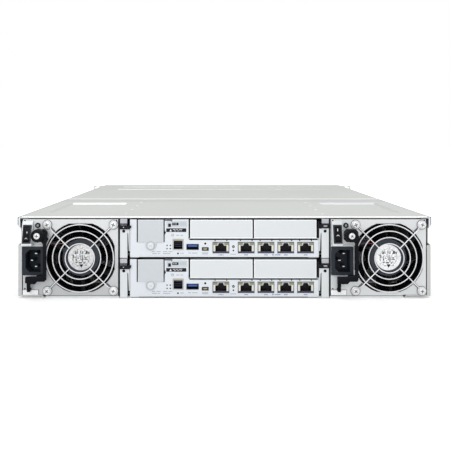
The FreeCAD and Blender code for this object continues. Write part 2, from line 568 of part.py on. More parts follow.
# ---------------------------------------------------------------- power modules
def psu_housing(xc):
    """Power module case: faceplate, fan opening, raised inlet seat and sloping switch seat."""
    def x(u):
        return xc + u
    low, high = PSU_LOW, PSU_HIGH
    shell = fuse(
        block(x(-PSU_HALF), x(PSU_HALF), REAR + 0.2, REAR + 34.5, low, high),
        block(x(-PSU_HALF), x(PSU_HALF), REAR + 34.0, PSU_END, low, PSU_BACK_HIGH),
    )
    inside = fuse(
        block(x(-PSU_HALF + 0.8), x(PSU_HALF - 0.8), REAR + 1.0, REAR + 34.0, low + 0.8, high - 0.8),
        block(x(-PSU_HALF + 0.8), x(PSU_HALF - 0.8), REAR + 33.0, PSU_END - 0.8,
              low + 0.8, PSU_BACK_HIGH - 0.8),
    )
    seat = block(x(INLET_U[0]), x(INLET_U[1] + 0.4), REAR - INLET_OUT, REAR + 0.6, INLET_Z[0] - 0.6, 58.0)
    slope = prism([(REAR + 0.6, SLOPE_TOP_Z), (REAR - SLOPE_IN, SLOPE_TOP_Z), (REAR - SLOPE_OUT, SLOPE_LOW_Z),
                   (REAR - SLOPE_OUT, 57.4), (REAR + 0.6, 57.4)], "x", x(SLOPE_U[0]), x(SLOPE_U[1]))
    sill = block(x(-PSU_HALF), x(-34.6), REAR - 0.6, REAR + 0.6, low, 8.6)
    apron = block(max(x(-PSU_HALF), -LIP_HALF), min(x(PSU_HALF), LIP_HALF), REAR + 0.2, REAR + 1.0,
                  LIP_TOP + 0.6, low + 0.4)
    lug_u, lug_p, lug_z = HANDLE_PIVOT
    nose = REAR - lug_p - 1.4
    lug = fuse(prism([(REAR + 0.6, lug_z - 1.5), (REAR - lug_p, lug_z - 1.5), (nose, lug_z - 0.7),
                      (nose, lug_z + 0.7), (REAR - lug_p, lug_z + 1.5), (REAR + 0.6, lug_z + 1.5)],
                     "x", x(lug_u - 0.5), x(lug_u + 0.5)),
               pin(HANDLE_PIN_R, REAR - lug_p, lug_z, x(lug_u - 1.9), x(lug_u + 1.9), "x"))
    fan_opening = bar(32, 39.1, x(FAN_U), FAN_Z, REAR - 1, REAR + 1.2).common(
        block(x(FAN_U - 36.9), x(FAN_U + 36.9), REAR - 1, REAR + 1.2, FAN_Z - 36.9, FAN_Z + 36.9))
    inlet_hole = block(x(INLET_U[0] + 1.2), x(INLET_U[1] - 1.2), REAR - 9, REAR + 2,
                       INLET_Z[0] + 1.2, INLET_Z[1] - 1.2)
    tools = [inside, fan_opening, inlet_hole, switch_slab(xc, 8.8, 18.9, -16.0, 3.0)]
    tools += [block(x(-30.0 + 21.0 * i), x(-12.0 + 21.0 * i), PSU_END - 2, PSU_END + 1, 44.0, 74.0)
              for i in range(3)]
    tools.append(block(x(-31.0), x(31.0), PSU_END - 2, PSU_END + 1, 25.0, 37.0))
    case = cut(fuse(shell, seat, slope, sill, apron, lug), *tools)
    board = block(x(-46.0), x(46.0), REAR + 40.0, PSU_END - 2.0, low + 4.0, low + 5.6)
    sink = block(x(-38.0), x(-30.0), REAR + 60.0, PSU_END - 40.0, low + 5.6, low + 60.0)
    coil = block(x(-8.0), x(30.0), REAR + 110.0, REAR + 150.0, low + 5.6, low + 46.0)
    edge = block(x(-28.0), x(28.0), PSU_END - 2.0, PSU_END + 0.8, low + 24.0, low + 30.0)
    return [case, board, sink, coil, edge]


def switch_frame():
    """Middle of the switch seat and the two directions of its sloping plane, in the Y-Z plane."""
    lean = SLOPE_OUT - SLOPE_IN
    run = math.hypot(lean, SLOPE_TOP_Z - SLOPE_LOW_Z)
    up = (lean / run, (SLOPE_TOP_Z - SLOPE_LOW_Z) / run)
    out = (-up[1], up[0])
    mid_z = (SWITCH_TOP + SWITCH_LOW) / 2
    share = (SLOPE_TOP_Z - mid_z) / (SLOPE_TOP_Z - SLOPE_LOW_Z)
    return (REAR - SLOPE_IN - lean * share, mid_z), up, out


def on_slope(s, n):
    """A point s up the sloping seat from its middle and n out of it, as (y, z)."""
    (my, mz), up, out = switch_frame()
    return my + up[0] * s + out[0] * n, mz + up[1] * s + out[1] * n


def switch_slab(xc, wide, tall, n0, n1):
    """A slab square to the sloping switch seat."""
    corners = [on_slope(s, n) for s, n in
               ((-tall / 2, n0), (tall / 2, n0), (tall / 2, n1), (-tall / 2, n1))]
    return prism(corners, "x", xc + SWITCH_U - wide / 2, xc + SWITCH_U + wide / 2)


def power_entry(xc):
    """Mains inlet, the switch's body and the status lamp in its round holder."""
    def x(u):
        return xc + u
    u0, u1 = INLET_U
    z0, z1 = INLET_Z
    mid_u, mid_z, a, b = INLET_MOUTH
    c = INLET_CORNER
    seat_y, face_y = REAR - INLET_OUT, REAR - INLET_OUT - INLET_FLANGE
    flange = chamfered(x(u0), x(u1), z0, z1, 0.5, face_y, seat_y)
    body = block(x(u0 + 1.4), x(u1 - 1.4), seat_y - 0.5, REAR + 18.0, z0 + 1.4, z1 - 1.4)
    left, right = mid_u - a, mid_u + a
    mouth = prism([(x(right), mid_z - b), (x(right), mid_z + b), (x(left + c), mid_z + b),
                   (x(left), mid_z + b - c), (x(left), mid_z - b + c), (x(left + c), mid_z - b)],
                  "y", face_y - 1, REAR + 13.0)
    inlet = cut(fuse(flange, body), mouth)
    pins = [block(x(mid_u + du - 2.0), x(mid_u + du + 2.0), REAR + 0.8, REAR + 13.0,
                  mid_z + dz - 1.0, mid_z + dz + 1.0)
            for du, dz in ((2.0, 7.4), (2.0, -6.6), (-2.4, 0.0))]
    bezel = switch_slab(xc, 9.3, 20.0, 0.0, 1.2)
    case = switch_slab(xc, 8.4, 18.5, -12.0, 0.6)
    well = switch_slab(xc, 6.6, 16.6, -6.4, 3.0)
    switch = cut(fuse(bezel, case), well)
    lamp_u, lamp_z = -35.2, 78.4
    holder = cut(bar(12, 2.9, x(lamp_u), lamp_z, REAR - 1.0, REAR + 0.2),
                 bar(8, 1.5, x(lamp_u), lamp_z, REAR - 2, REAR + 1))
    lamp = bar(8, 1.5, x(lamp_u), lamp_z, REAR - 0.6, REAR + 0.2)
    return [inlet, *pins, switch, holder, lamp]


def rocker(xc):
    """Rocker of the mains switch, resting on its lower side."""
    pivot = (0.0, -1.6)
    outline = [(-7.3, 1.5), (0.0, 0.5), (7.3, 1.5), (6.9, -3.4), (-6.9, -3.4)]
    tilt = math.radians(-8.0)
    corners = []
    for s, n in outline:
        ds, dn = s - pivot[0], n - pivot[1]
        corners.append(on_slope(pivot[0] + ds * math.cos(tilt) - dn * math.sin(tilt),
                                pivot[1] + ds * math.sin(tilt) + dn * math.cos(tilt)))
    return prism(corners, "x", xc + SWITCH_U - 3.0, xc + SWITCH_U + 3.0)


def fan_frame(xc):
    """Square fan frame with its round duct, the fixed motor seat in the middle and three struts."""
    cx, y0 = xc + FAN_U, REAR + FAN_FRONT
    y1 = y0 + FAN_DEEP
    frame = block(cx - FAN_HALF, cx + FAN_HALF, y0, y1, FAN_Z - FAN_HALF, FAN_Z + FAN_HALF)
    duct = bar(32, FAN_BORE, cx, FAN_Z, y0 - 1, y1 + 1)
    seat = bar(24, 20.0, cx, FAN_Z, y0 + 0.8, y0 + 4.6)
    struts = []
    for angle in (35.0, 155.0, 275.0):
        strut = block(18.0, FAN_BORE + 0.4, y0 + 1.2, y0 + 4.0, -1.6, 1.6)
        strut.rotate(V(0, 0, 0), V(0, 1, 0), -angle)
        strut.translate(V(cx, 0, FAN_Z))
        struts.append(strut)
    bearing = pin_hole(SHAFT_R, cx, FAN_Z, y0, y0 + 5.0, "y")
    return cut(fuse(cut(frame, duct), seat, *struts), bearing)


def fan_rotor(xc):
    """Fan wheel: hub with seven blades, skinned over sections that turn and sweep from root to tip."""
    cx, y0 = xc + FAN_U, REAR + FAN_FRONT + 5.4
    middle = 11.5
    hub = bar(24, 19.4, 0.0, 0.0, 0.0, 2 * middle)

    def section(radius, chord, pitch, sweep):
        turn, lean = math.radians(pitch), math.radians(sweep)
        corners = []
        for along, across in ((-chord / 2, -0.5), (0.0, 1.1), (chord / 2, 0.3), (0.0, 2.4)):
            side = along * math.cos(turn) - across * math.sin(turn)
            deep = along * math.sin(turn) + across * math.cos(turn)
            corners.append(V(radius * math.cos(lean) - side * math.sin(lean), middle + deep,
                             radius * math.sin(lean) + side * math.cos(lean)))
        return corners
    blade = facet_loft([section(17.5, 20.0, 54.0, 0.0), section(27.0, 23.0, 43.0, 5.0),
                        section(35.4, 23.0, 33.0, 11.0)])
    blades = []
    for i in range(BLADES):
        copy = blade.copy()
        copy.rotate(V(0, 0, 0), V(0, 1, 0), 360.0 / BLADES * i)
        blades.append(copy)
    shaft = pin(SHAFT_R, 0.0, 0.0, -3.4, 0.5, "y")
    wheel = fuse(hub, shaft, *blades)
    wheel.translate(V(cx, y0, FAN_Z))
    return wheel


def fan_guard(xc):
    """Wire finger guard: four rings under four diagonal wires that end in flat eyes, with their screws."""
    cx = xc + FAN_U
    rings = []
    for radius in GUARD_RINGS:
        sides = 4 * round(3 + radius / 12)
        rings.append(cut(bar(sides, radius + WIRE, 0.0, 0.0, REAR - 4.2, REAR - 3.0),
                         bar(sides, radius - WIRE, 0.0, 0.0, REAR - 5.0, REAR - 2.0)))
    reach = FAN_HOLE * math.sqrt(2.0)
    wires, screws = [], []
    for i in range(4):
        angle = 45.0 + 90.0 * i
        wire = prism([(14.8, REAR - 4.1), (14.8, REAR - 5.3), (43.0, REAR - 5.3), (47.0, REAR - 1.6),
                      (47.5, REAR - 1.6), (47.5, REAR - 0.4), (46.4, REAR - 0.4), (42.2, REAR - 4.1)],
                     "z", -WIRE, WIRE)
        eye = bar(6, 4.4, reach, 0.0, REAR - 1.6, REAR - 0.2)
        screw = bar(8, 3.2, reach, 0.0, REAR - 3.6, REAR - 1.6)
        for shape, group in ((fuse(wire, eye), wires), (screw, screws)):
            shape.rotate(V(0, 0, 0), V(0, 1, 0), -angle)
            group.append(shape)
    guard = fuse(*rings, *wires)
    for shape in (guard, *screws):
        shape.translate(V(cx, 0, FAN_Z))
    return [guard, *screws]


def psu_handle(xc):
    """Pull-out lever of a power module, hinged at its foot and held at the top by a knurled captive screw."""
    def x(u):
        return xc + u

    def plate(points, p0, p1):
        return prism([(x(u), z) for u, z in points], "y", REAR - p1, REAR - p0)
    ku, kz, kr = KNOB
    boss = chamfered(x(ku - 6.4), x(ku + 8.6), kz - 7.6, kz + 6.1, 2.6, REAR - 7.4, REAR - 4.2)
    arm = plate([(-23.9, 21.4), (-23.9, 60.0), (-21.8, 65.0), (-25.0, 72.0), (-30.0, 72.0), (-30.0, 64.0),
                 (-27.0, 60.0), (-27.0, 26.4), (-33.5, 26.4), (-34.5, 24.8), (-45.6, 24.6), (-45.9, 18.6),
                 (-41.0, 17.2), (-35.5, 17.2), (-33.0, 19.8), (-25.4, 19.8)], 6.6, 11.4)
    leg = plate([(-45.8, 24.0), (-41.2, 24.0), (-41.9, 7.8), (-45.1, 7.8)], 4.8, 7.0)
    pu, pp, pz = HANDLE_PIVOT
    cheeks = [prism([(REAR - 5.0, 15.0), (REAR - pp + 1.4, pz + 1.5), (REAR - pp + 1.4, pz - 1.5),
                     (REAR - 5.0, 7.8)], "x", x(pu + s - 0.5), x(pu + s + 0.5)) for s in (-1.4, 1.4)]
    bore = pin_hole(HANDLE_PIN_R, REAR - pp, pz, x(pu - 5), x(pu + 5), "x")
    knob = bar(16, kr, x(ku), kz, REAR - 15.4, REAR - 7.4)
    lever = cut(fuse(boss, arm, leg, knob, *cheeks), bore)
    cross = [block(x(ku - du), x(ku + du), REAR - 18, REAR - 16.6, kz - dz, kz + dz)
             for du, dz in ((1.7, 0.45), (0.45, 1.7))]
    screw = cut(bar(10, 3.2, x(ku), kz, REAR - 17.4, REAR - 15.4), *cross)
    return [lever, screw]


# ---------------------------------------------------------------- build
def main():
    """Writes every node."""
    os.makedirs("parts", exist_ok=True)
    save("chassis_tray", chassis_tray())
    save("rear_top_cover", rear_top_cover())
    save("front_top_cover", front_top_cover())
    save("rack_ears", *rack_ears())
    save("bay_walls", *bay_walls())
    save("drive_cage", *drive_cage())
    save("midplane", *midplane())
    save("cover_fasteners", *cover_fasteners())
    for name, base in zip(CONTROLLER_NAMES, CONTROLLER_Z):
        save(f"controller_{name}_canister", canister(base))
        save(f"controller_{name}_board", *controller_board(base))
        save(f"controller_{name}_ports", *port_row(base))
        save(f"controller_{name}_slot_blanks", *slot_blanks(base))
        save(f"controller_{name}_battery", *battery_module(base))
        save(f"controller_{name}_lever_left", *controller_lever(base, -1))
        save(f"controller_{name}_lever_right", *controller_lever(base, 1))
    for name, xc in (("left", -PSU_MID), ("right", PSU_MID)):
        save(f"psu_{name}_housing", *psu_housing(xc))
        save(f"psu_{name}_power_entry", *power_entry(xc))
        save(f"psu_{name}_switch_rocker", rocker(xc))
        save(f"psu_{name}_fan_frame", fan_frame(xc))
        save(f"psu_{name}_fan_rotor", fan_rotor(xc))
        save(f"psu_{name}_fan_guard", *fan_guard(xc))
        save(f"psu_{name}_handle", *psu_handle(xc))
    for column in range(BAY_COLUMNS):
        for row in range(BAY_ROWS):
            label = f"{column + 1}{row + 1}"
            save(f"drive_tray_{label}", *drive_tray(column, row))
            save(f"tray_lever_{label}", tray_lever(column, row))


main()
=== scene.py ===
"""Finish and fine detail of a two-unit disk shelf enclosure, on the frame of its solids.

Lengths are in millimetres; Bench, Datum and move turn them into metres.
"""

import logging
import math
from dataclasses import dataclass, field, replace
from enum import Enum
from typing import Callable, Iterable, NamedTuple, Optional, Sequence

import bmesh
import bpy
from mathutils import Matrix, Vector


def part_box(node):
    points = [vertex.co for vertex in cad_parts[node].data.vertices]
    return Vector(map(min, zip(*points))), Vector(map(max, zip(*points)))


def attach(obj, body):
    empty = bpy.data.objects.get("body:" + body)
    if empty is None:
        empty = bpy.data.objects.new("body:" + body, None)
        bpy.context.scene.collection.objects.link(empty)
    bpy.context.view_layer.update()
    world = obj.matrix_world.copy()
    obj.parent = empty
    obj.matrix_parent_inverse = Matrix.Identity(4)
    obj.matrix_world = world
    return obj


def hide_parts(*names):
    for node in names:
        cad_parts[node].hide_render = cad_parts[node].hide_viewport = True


LOG = logging.getLogger("shelf")
MM = 0.001
FAN_ASIDE = 10.9  # from the middle line of a power module to the axis of its fan
BAYS = tuple(f"{column}{row}" for column in range(1, 5) for row in range(1, 4))
Colour = tuple[float, float, float]
Point = tuple[float, float, float]
Span = tuple[float, float]


class Spot(NamedTuple):
    """A point in millimetres."""

    x: float
    y: float
    z: float


def metres(values: Iterable[float]) -> tuple[float, ...]:
    """Millimetres as metres."""
    return tuple(value * MM for value in values)


def spots(box: Iterable[Sequence[float]]) -> tuple[Spot, ...]:
    """The corners of a box in metres, as points in millimetres."""
    return tuple(Spot(*(value / MM for value in corner)) for corner in box)


class Grain(Enum):
    """How the surface of a finish is broken up."""

    SHEET = "sheet"
    POWDER = "powder"
    MOULDED = "moulded"
    DRAWN = "drawn"
    SMOOTH = "smooth"


@dataclass(frozen=True)
class Zone:
    """A box in which a finish has another colour, as where two materials share one solid, or where shade or
    light is painted on.
    """

    low: Point
    high: Point
    colour: Colour
    metal: float = 0.0
    rough: float = 0.5


@dataclass(frozen=True)
class Finish:
    """One surface finish: colour, gloss, and the fine relief that belongs to it."""

    name: str
    colour: Colour
    grain: Grain = Grain.SMOOTH
    metal: float = 0.0
    rough: float = 0.5
    mottle: float = 0.0
    # Share of painted highlight blended onto rounded edges.
    edge: float = 0.0
    round_mm: float = 0.0
    coat: float = 0.0
    sheen: float = 0.5
    # Painted shade: (low, high, share) darkens the colour by the factor share at height low, easing to none
    # at height high, in metres.
    fade: Optional[Point] = None
    zones: tuple[Zone, ...] = ()

    def material(self) -> bpy.types.Material:
        """The finish as a material, made once.

        Returns:
            The material with this finish's name.
        """
        found = bpy.data.materials.get(self.name)
        return found or FinishGraph(self).made


class NodeGraph:
    """Adds and joins the nodes of a material or a world."""

    def __init__(self, owner: bpy.types.ID) -> None:
        """Turns the owner's nodes on.

        Args:
            owner: A material or a world.
        """
        owner.use_nodes = True
        self.tree = owner.node_tree

    def node(self, kind: str, **settings: object) -> bpy.types.Node:
        """Adds a node with some of its properties set.

        Args:
            kind: The node's type.
            settings: Properties by name.

        Returns:
            The new node.
        """
        made = self.tree.nodes.new(kind)
        for key, value in settings.items():
            setattr(made, key, value)
        return made

    def link(self, out: bpy.types.NodeSocket, into: bpy.types.NodeSocket) -> None:
        """Joins two sockets."""
        self.tree.links.new(out, into)

    def feed(self, socket: bpy.types.NodeSocket, value: object) -> None:
        """Gives a socket another socket's value, a colour or a number."""
        if isinstance(value, bpy.types.NodeSocket):
            self.link(value, socket)
        else:
            socket.default_value = (*value, 1.0) if socket.type == "RGBA" else value

    def feed_all(self, sockets: object, values: dict[str, object]) -> None:
        """Feeds several of a node's inputs by name."""
        for name, value in values.items():
            self.feed(sockets[name], value)

    def math(self, operation: str, a: object, b: object = 0.0) -> bpy.types.NodeSocket:
        """The result of a Math node, of two sockets or numbers."""
        made = self.node("ShaderNodeMath", operation=operation)
        self.feed(made.inputs[0], a)
        self.feed(made.inputs[1], b)
        return made.outputs[0]

    def vector(self, operation: str, *values: object) -> bpy.types.Node:
        """A Vector Math node, of sockets or points."""
        made = self.node("ShaderNodeVectorMath", operation=operation)
        for socket, value in zip(made.inputs, values):
            self.feed(socket, value)
        return made

    def axes(self, point: bpy.types.NodeSocket) -> bpy.types.NodeOutputs:
        """The x, y and z of a point."""
        parts = self.node("ShaderNodeSeparateXYZ")
        self.link(point, parts.inputs[0])
        return parts.outputs

    def blend(self, share: object, a: object, b: object) -> bpy.types.NodeSocket:
        """Mixes two colours.

        Args:
            share: How much of the second.
            a: A socket or a colour.
            b: A socket or a colour.

        Returns:
            The mixed colour.
        """
        made = self.node("ShaderNodeMix", data_type="RGBA")
        for socket, value in ((made.inputs[0], share), (made.inputs[6], a), (made.inputs[7], b)):
            self.feed(socket, value)
        return made.outputs[2]

    def range(self, value: bpy.types.NodeSocket, low: float, high: float, to_low: float,
              to_high: float) -> bpy.types.NodeSocket:
        """Maps one range of numbers to another, held at the ends.

        Args:
            value: What to map.
            low: Start of the range.
            high: End of the range.
            to_low: What low becomes.
            to_high: What high becomes.

        Returns:
            The mapped number.
        """
        made = self.node("ShaderNodeMapRange")
        self.feed_all(made.inputs, {"Value": value, "From Min": low, "From Max": high, "To Min": to_low,
                                    "To Max": to_high})
        return made.outputs["Result"]


class FinishGraph(NodeGraph):
    """Builds the nodes of one finish."""

    # Cells per metre, how much the gloss varies, and the depth of the relief in metres.
    RELIEF = {
        Grain.SHEET: (900.0, 0.05, 0.00004),
        Grain.POWDER: (2600.0, 0.35, 0.00005),
        Grain.MOULDED: (1800.0, 0.30, 0.00006),
        Grain.DRAWN: (700.0, 0.12, 0.00003),
        Grain.SMOOTH: (300.0, 0.03, 0.00002),
    }
    DRAWN_STRETCH = (1.0, 1.0, 0.06)
    CLOUD_SCALE = 9.0
    SPECK_SCALE = 420.0
    SPECK_SHARE = 0.35
    LEAST_ROUND = 0.05
    NOISE_MIDDLE = (0.3, 0.7)
    # Pale tone of the painted highlight on edges.
    EDGE_HIGHLIGHT = (0.86, 0.87, 0.88)
    EDGE_TURN = (0.99, 0.8)
    BUMP = 0.6

    def __init__(self, finish: Finish) -> None:
        """Makes the material.

        Args:
            finish: What to build.
        """
        self.finish = finish
        self.made = bpy.data.materials.new(finish.name)
        super().__init__(self.made)
        self.made.diffuse_color = (*finish.colour, 1.0)
        self.shader = self.tree.nodes["Principled BSDF"]
        self.place = self.node("ShaderNodeTexCoord").outputs["Object"]
        self._wire()

    def noise(self, scale: float, detail: float, stretch: Optional[Point] = None) -> bpy.types.NodeSocket:
        """Noise over the object, between 0 and 1.

        Args:
            scale: Cells per metre.
            detail: Octaves.
            stretch: Scale along each axis, if it isn't even.

        Returns:
            The noise's value.
        """
        made = self.node("ShaderNodeTexNoise")
        source = self.place
        if stretch:
            mapping = self.node("ShaderNodeMapping")
            self.feed_all(mapping.inputs, {"Scale": stretch, "Vector": self.place})
            source = mapping.outputs["Vector"]
        self.feed_all(made.inputs, {"Scale": scale, "Detail": detail, "Vector": source})
        return made.outputs["Fac"]

    def spread(self, noise: bpy.types.NodeSocket, half: float) -> bpy.types.NodeSocket:
        """Noise stretched to run from -half to half."""
        return self.range(noise, *self.NOISE_MIDDLE, -half, half)

    def inside(self, zone: Zone) -> bpy.types.NodeSocket:
        """1 inside the zone's box and 0 outside it."""
        middle = [(a + b) / 2 for a, b in zip(zone.low, zone.high)]
        half = [(b - a) / 2 for a, b in zip(zone.low, zone.high)]
        away = self.vector("ABSOLUTE", self.vector("SUBTRACT", self.place, middle).outputs[0])
        x, y, z = self.axes(self.vector("SUBTRACT", away.outputs[0], half).outputs[0])
        return self.math("LESS_THAN", self.math("MAXIMUM", self.math("MAXIMUM", x, y), z), 0.0)

    def _wire(self) -> None:
        """Joins colour, gloss and relief to the shader."""
        finish = self.finish
        scale, swing, deep = self.RELIEF[finish.grain]
        grain = self.noise(scale, 4.0, self.DRAWN_STRETCH if finish.grain is Grain.DRAWN else None)
        shade = self.math("ADD", self.spread(self.noise(self.CLOUD_SCALE, 2.0), finish.mottle),
                          self.spread(self.noise(self.SPECK_SCALE, 2.0), finish.mottle * self.SPECK_SHARE))
        level = self.math("ADD", shade, 1.0)
        # Painted shade: the colour darkens towards the bottom, between two heights.
        if finish.fade:
            low, high, share = finish.fade
            level = self.math("MULTIPLY", level, self.range(self.axes(self.place)[2], low, high, share, 1.0))
        tone = self.node("ShaderNodeHueSaturation")
        self.feed_all(tone.inputs, {"Color": finish.colour, "Value": level})
        colour = tone.outputs["Color"]
        rough = self.math("ADD", self.spread(grain, 0.5 * swing), finish.rough)
        metal: object = finish.metal
        corner = self.node("ShaderNodeBevel", samples=4)
        corner.inputs["Radius"].default_value = max(finish.round_mm, self.LEAST_ROUND) * MM
        # Painted highlight: rounded edges blend towards a pale tone by the finish's edge share.
        if finish.edge:
            flat = self.node("ShaderNodeNewGeometry").outputs["Normal"]
            dot = self.vector("DOT_PRODUCT", flat, corner.outputs[0]).outputs["Value"]
            colour = self.blend(self.range(dot, *self.EDGE_TURN, 0.0, finish.edge), colour, self.EDGE_HIGHLIGHT)
        for zone in finish.zones:
            there = self.inside(zone)
            colour = self.blend(there, colour, zone.colour)
            rough = self.math("ADD", self.math("MULTIPLY", rough, self.math("SUBTRACT", 1.0, there)),
                              self.math("MULTIPLY", there, zone.rough))
            metal = self.math("ADD", metal, self.math("MULTIPLY", there, zone.metal - finish.metal))
        bump = self.node("ShaderNodeBump")
        self.feed_all(bump.inputs, {"Strength": self.BUMP, "Distance": deep, "Height": grain})
        if finish.round_mm:
            self.link(corner.outputs[0], bump.inputs["Normal"])
        self.feed_all(self.shader.inputs, {"Base Color": colour, "Roughness": rough, "Metallic": metal,
                                           "Normal": bump.outputs[0], "Specular IOR Level": finish.sheen})
        if finish.coat:
            self.shader.inputs["Coat Weight"].default_value = finish.coat


# Each has a name, a colour and a grain, and then metal, rough, mottle, edge and round_mm; edge is the share
# of painted highlight blended onto rounded edges.
COVER = Finish("cover_coat", (0.635, 0.65, 0.635), Grain.SHEET, 0.08, 0.60, 0.02, 0.6, 0.3, sheen=0.25)
ZINC = Finish("zinc_sheet", (0.60, 0.61, 0.61), Grain.SHEET, 0.55, 0.40, 0.05, 0.5, 0.25)
FACE = Finish("face_sheet", (0.74, 0.78, 0.82), Grain.SHEET, 0.15, 0.40, 0.02, 0.5, 0.2)
BLANK = Finish("blank_sheet", (0.90, 0.92, 0.94), Grain.SHEET, 0.15, 0.36, 0.02, 0.9, 0.5)
BATTERY = Finish("battery_sheet", (0.60, 0.64, 0.67), Grain.SHEET, 0.15, 0.40, 0.02, 0.9, 0.5)
LEVER = Finish("lever_sheet", (0.72, 0.75, 0.77), Grain.SHEET, 0.10, 0.36, 0.02, 0.8, 0.3, sheen=0.3)
# The power modules' sheet darkens towards the bottom: painted shade.
PSU_SHEET = Finish("power_sheet", (0.72, 0.74, 0.75), Grain.SHEET, 0.20, 0.38, 0.03, 0.5, 0.3,
                   fade=(0.0, 0.070, 0.74))
EAR = Finish("ear_powder", (0.80, 0.81, 0.83), Grain.POWDER, 0.0, 0.5, 0.03, 0.1, 0.3)
BLACK = Finish("black_moulding", (0.002, 0.003, 0.006), Grain.MOULDED, 0.0, 0.42, 0.10, 0.04, 0.35,
               sheen=0.13)
INLET_SLATE = Finish("inlet_moulding", (0.018, 0.024, 0.034), Grain.MOULDED, 0.0, 0.5, 0.08, 0.04, 0.3,
                     sheen=0.25)
FAN_BLACK = Finish("fan_moulding", (0.004, 0.004, 0.006), Grain.SMOOTH, 0.0, 0.5, 0.10, 0.03, 0.3, sheen=0.12)
SWITCH_BLACK = Finish("switch_moulding", (0.005, 0.005, 0.007), Grain.SMOOTH, 0.0, 0.35, 0.05, 0.05, 0.3,
                      sheen=0.12)
BRIGHT = Finish("bright_wire", (0.82, 0.83, 0.85), Grain.SMOOTH, 0.30, 0.32, 0.03)
SCREW = Finish("plated_screw", (0.86, 0.87, 0.87), Grain.SMOOTH, 0.25, 0.34, 0.03, 0.2, 0.1)
# Rivet heads near white: bright plating, painted lighter as a highlight for the glints on their domes.
RIVET = Finish("rivet_head", (0.95, 0.95, 0.95), Grain.SMOOTH, 0.20, 0.25, 0.02)
# Dark warm grey laid into screw crosses: painted shade in their recesses.
DRIVER_RECESS = Finish("driver_recess", (0.17, 0.16, 0.13), Grain.SMOOTH, 0.0, 0.6, 0.1, sheen=0.1)
SHADE_LINE = Finish("shade_line", (0.13, 0.135, 0.155), Grain.SMOOTH, 0.0, 0.7, 0.05, sheen=0.1)
SHIELD = Finish("port_shield", (0.62, 0.62, 0.60), Grain.DRAWN, 0.75, 0.34, 0.05, 0.4, 0.1)
BOARD = Finish("circuit_board", (0.03, 0.16, 0.08), Grain.SMOOTH, 0.0, 0.35, 0.25)
GOLD = Finish("gold_contact", (0.30, 0.22, 0.10), Grain.SMOOTH, 0.8, 0.35, 0.05)
CREAM = Finish("cream_moulding", (0.72, 0.71, 0.60), Grain.SMOOTH, 0.0, 0.45, 0.03)
STRAW_WINDOW = Finish("straw_window", (0.25, 0.235, 0.16), Grain.SMOOTH, 0.0, 0.3, 0.03, coat=0.3)
OLIVE_WINDOW = Finish("olive_window", (0.235, 0.25, 0.15), Grain.SMOOTH, 0.0, 0.3, 0.03, coat=0.3)
CONTACT_STRIP = Finish("contact_strip", (0.040, 0.043, 0.090), Grain.SMOOTH, 0.2, 0.4, 0.06)
TONGUE_BLUE = Finish("tongue_blue", (0.035, 0.10, 0.42), Grain.SMOOTH, 0.0, 0.4, 0.03)
OCHRE = Finish("ochre_strip", (0.48, 0.42, 0.28), Grain.SMOOTH, 0.2, 0.4, 0.03)
# Near black for holes, notches and gaps not cut in the solids: painted shade.
DARK_HOLE = Finish("dark_recess", (0.006, 0.006, 0.009), Grain.SMOOTH, 0.0, 0.7, 0.05, sheen=0.1)
STICKER = Finish("silver_label", (0.90, 0.91, 0.92), Grain.SHEET, 0.0, 0.38, 0.40)
STICKER_INK = Finish("label_ink", (0.06, 0.063, 0.07), Grain.SMOOTH, 0.0, 0.6, 0.05)
# White print; also the painted glint on the lever catches.
WHITE_INK_AND_GLINT = Finish("white_ink_and_glint", (0.80, 0.80, 0.80), Grain.SMOOTH, 0.0, 0.5, 0.02)
GREY_INK = Finish("grey_ink", (0.012, 0.012, 0.024), Grain.SMOOTH, 0.0, 0.6, 0.05, sheen=0.2)
FAINT_INK = Finish("faint_ink", (0.40, 0.44, 0.49), Grain.SMOOTH, 0.0, 0.6, 0.05)
BLUE_INK = Finish("blue_ink", (0.30, 0.34, 0.50), Grain.SMOOTH, 0.0, 0.6, 0.05)
PALE_SCREW = Finish("pale_screw", (0.74, 0.77, 0.79), Grain.SMOOTH, 0.10, 0.38, 0.03, 0.4, 0.15)
BLADE_BLACK = Finish("blade_moulding", (0.004, 0.004, 0.006), Grain.SMOOTH, 0.0, 0.45, 0.10, 0.16, 0.25,
                     sheen=0.2)
PANEL_TINT = Finish("panel_tint", (0.58, 0.63, 0.66), Grain.SHEET, 0.1, 0.45, 0.02)
LENS_GREEN = Finish("lens_green", (0.30, 0.55, 0.32), Grain.SMOOTH, 0.0, 0.2, 0.02, coat=0.5)
LENS_DULL = Finish("lens_dull", (0.30, 0.33, 0.33), Grain.SMOOTH, 0.0, 0.25, 0.02, coat=0.5)
BEZEL = Finish("bezel_moulding", (0.045, 0.048, 0.052), Grain.MOULDED, 0.0, 0.45, 0.06, 0.05, 0.3)
BEZEL_LEVER = Finish("bezel_lever", (0.075, 0.08, 0.085), Grain.MOULDED, 0.0, 0.40, 0.06, 0.05, 0.3)


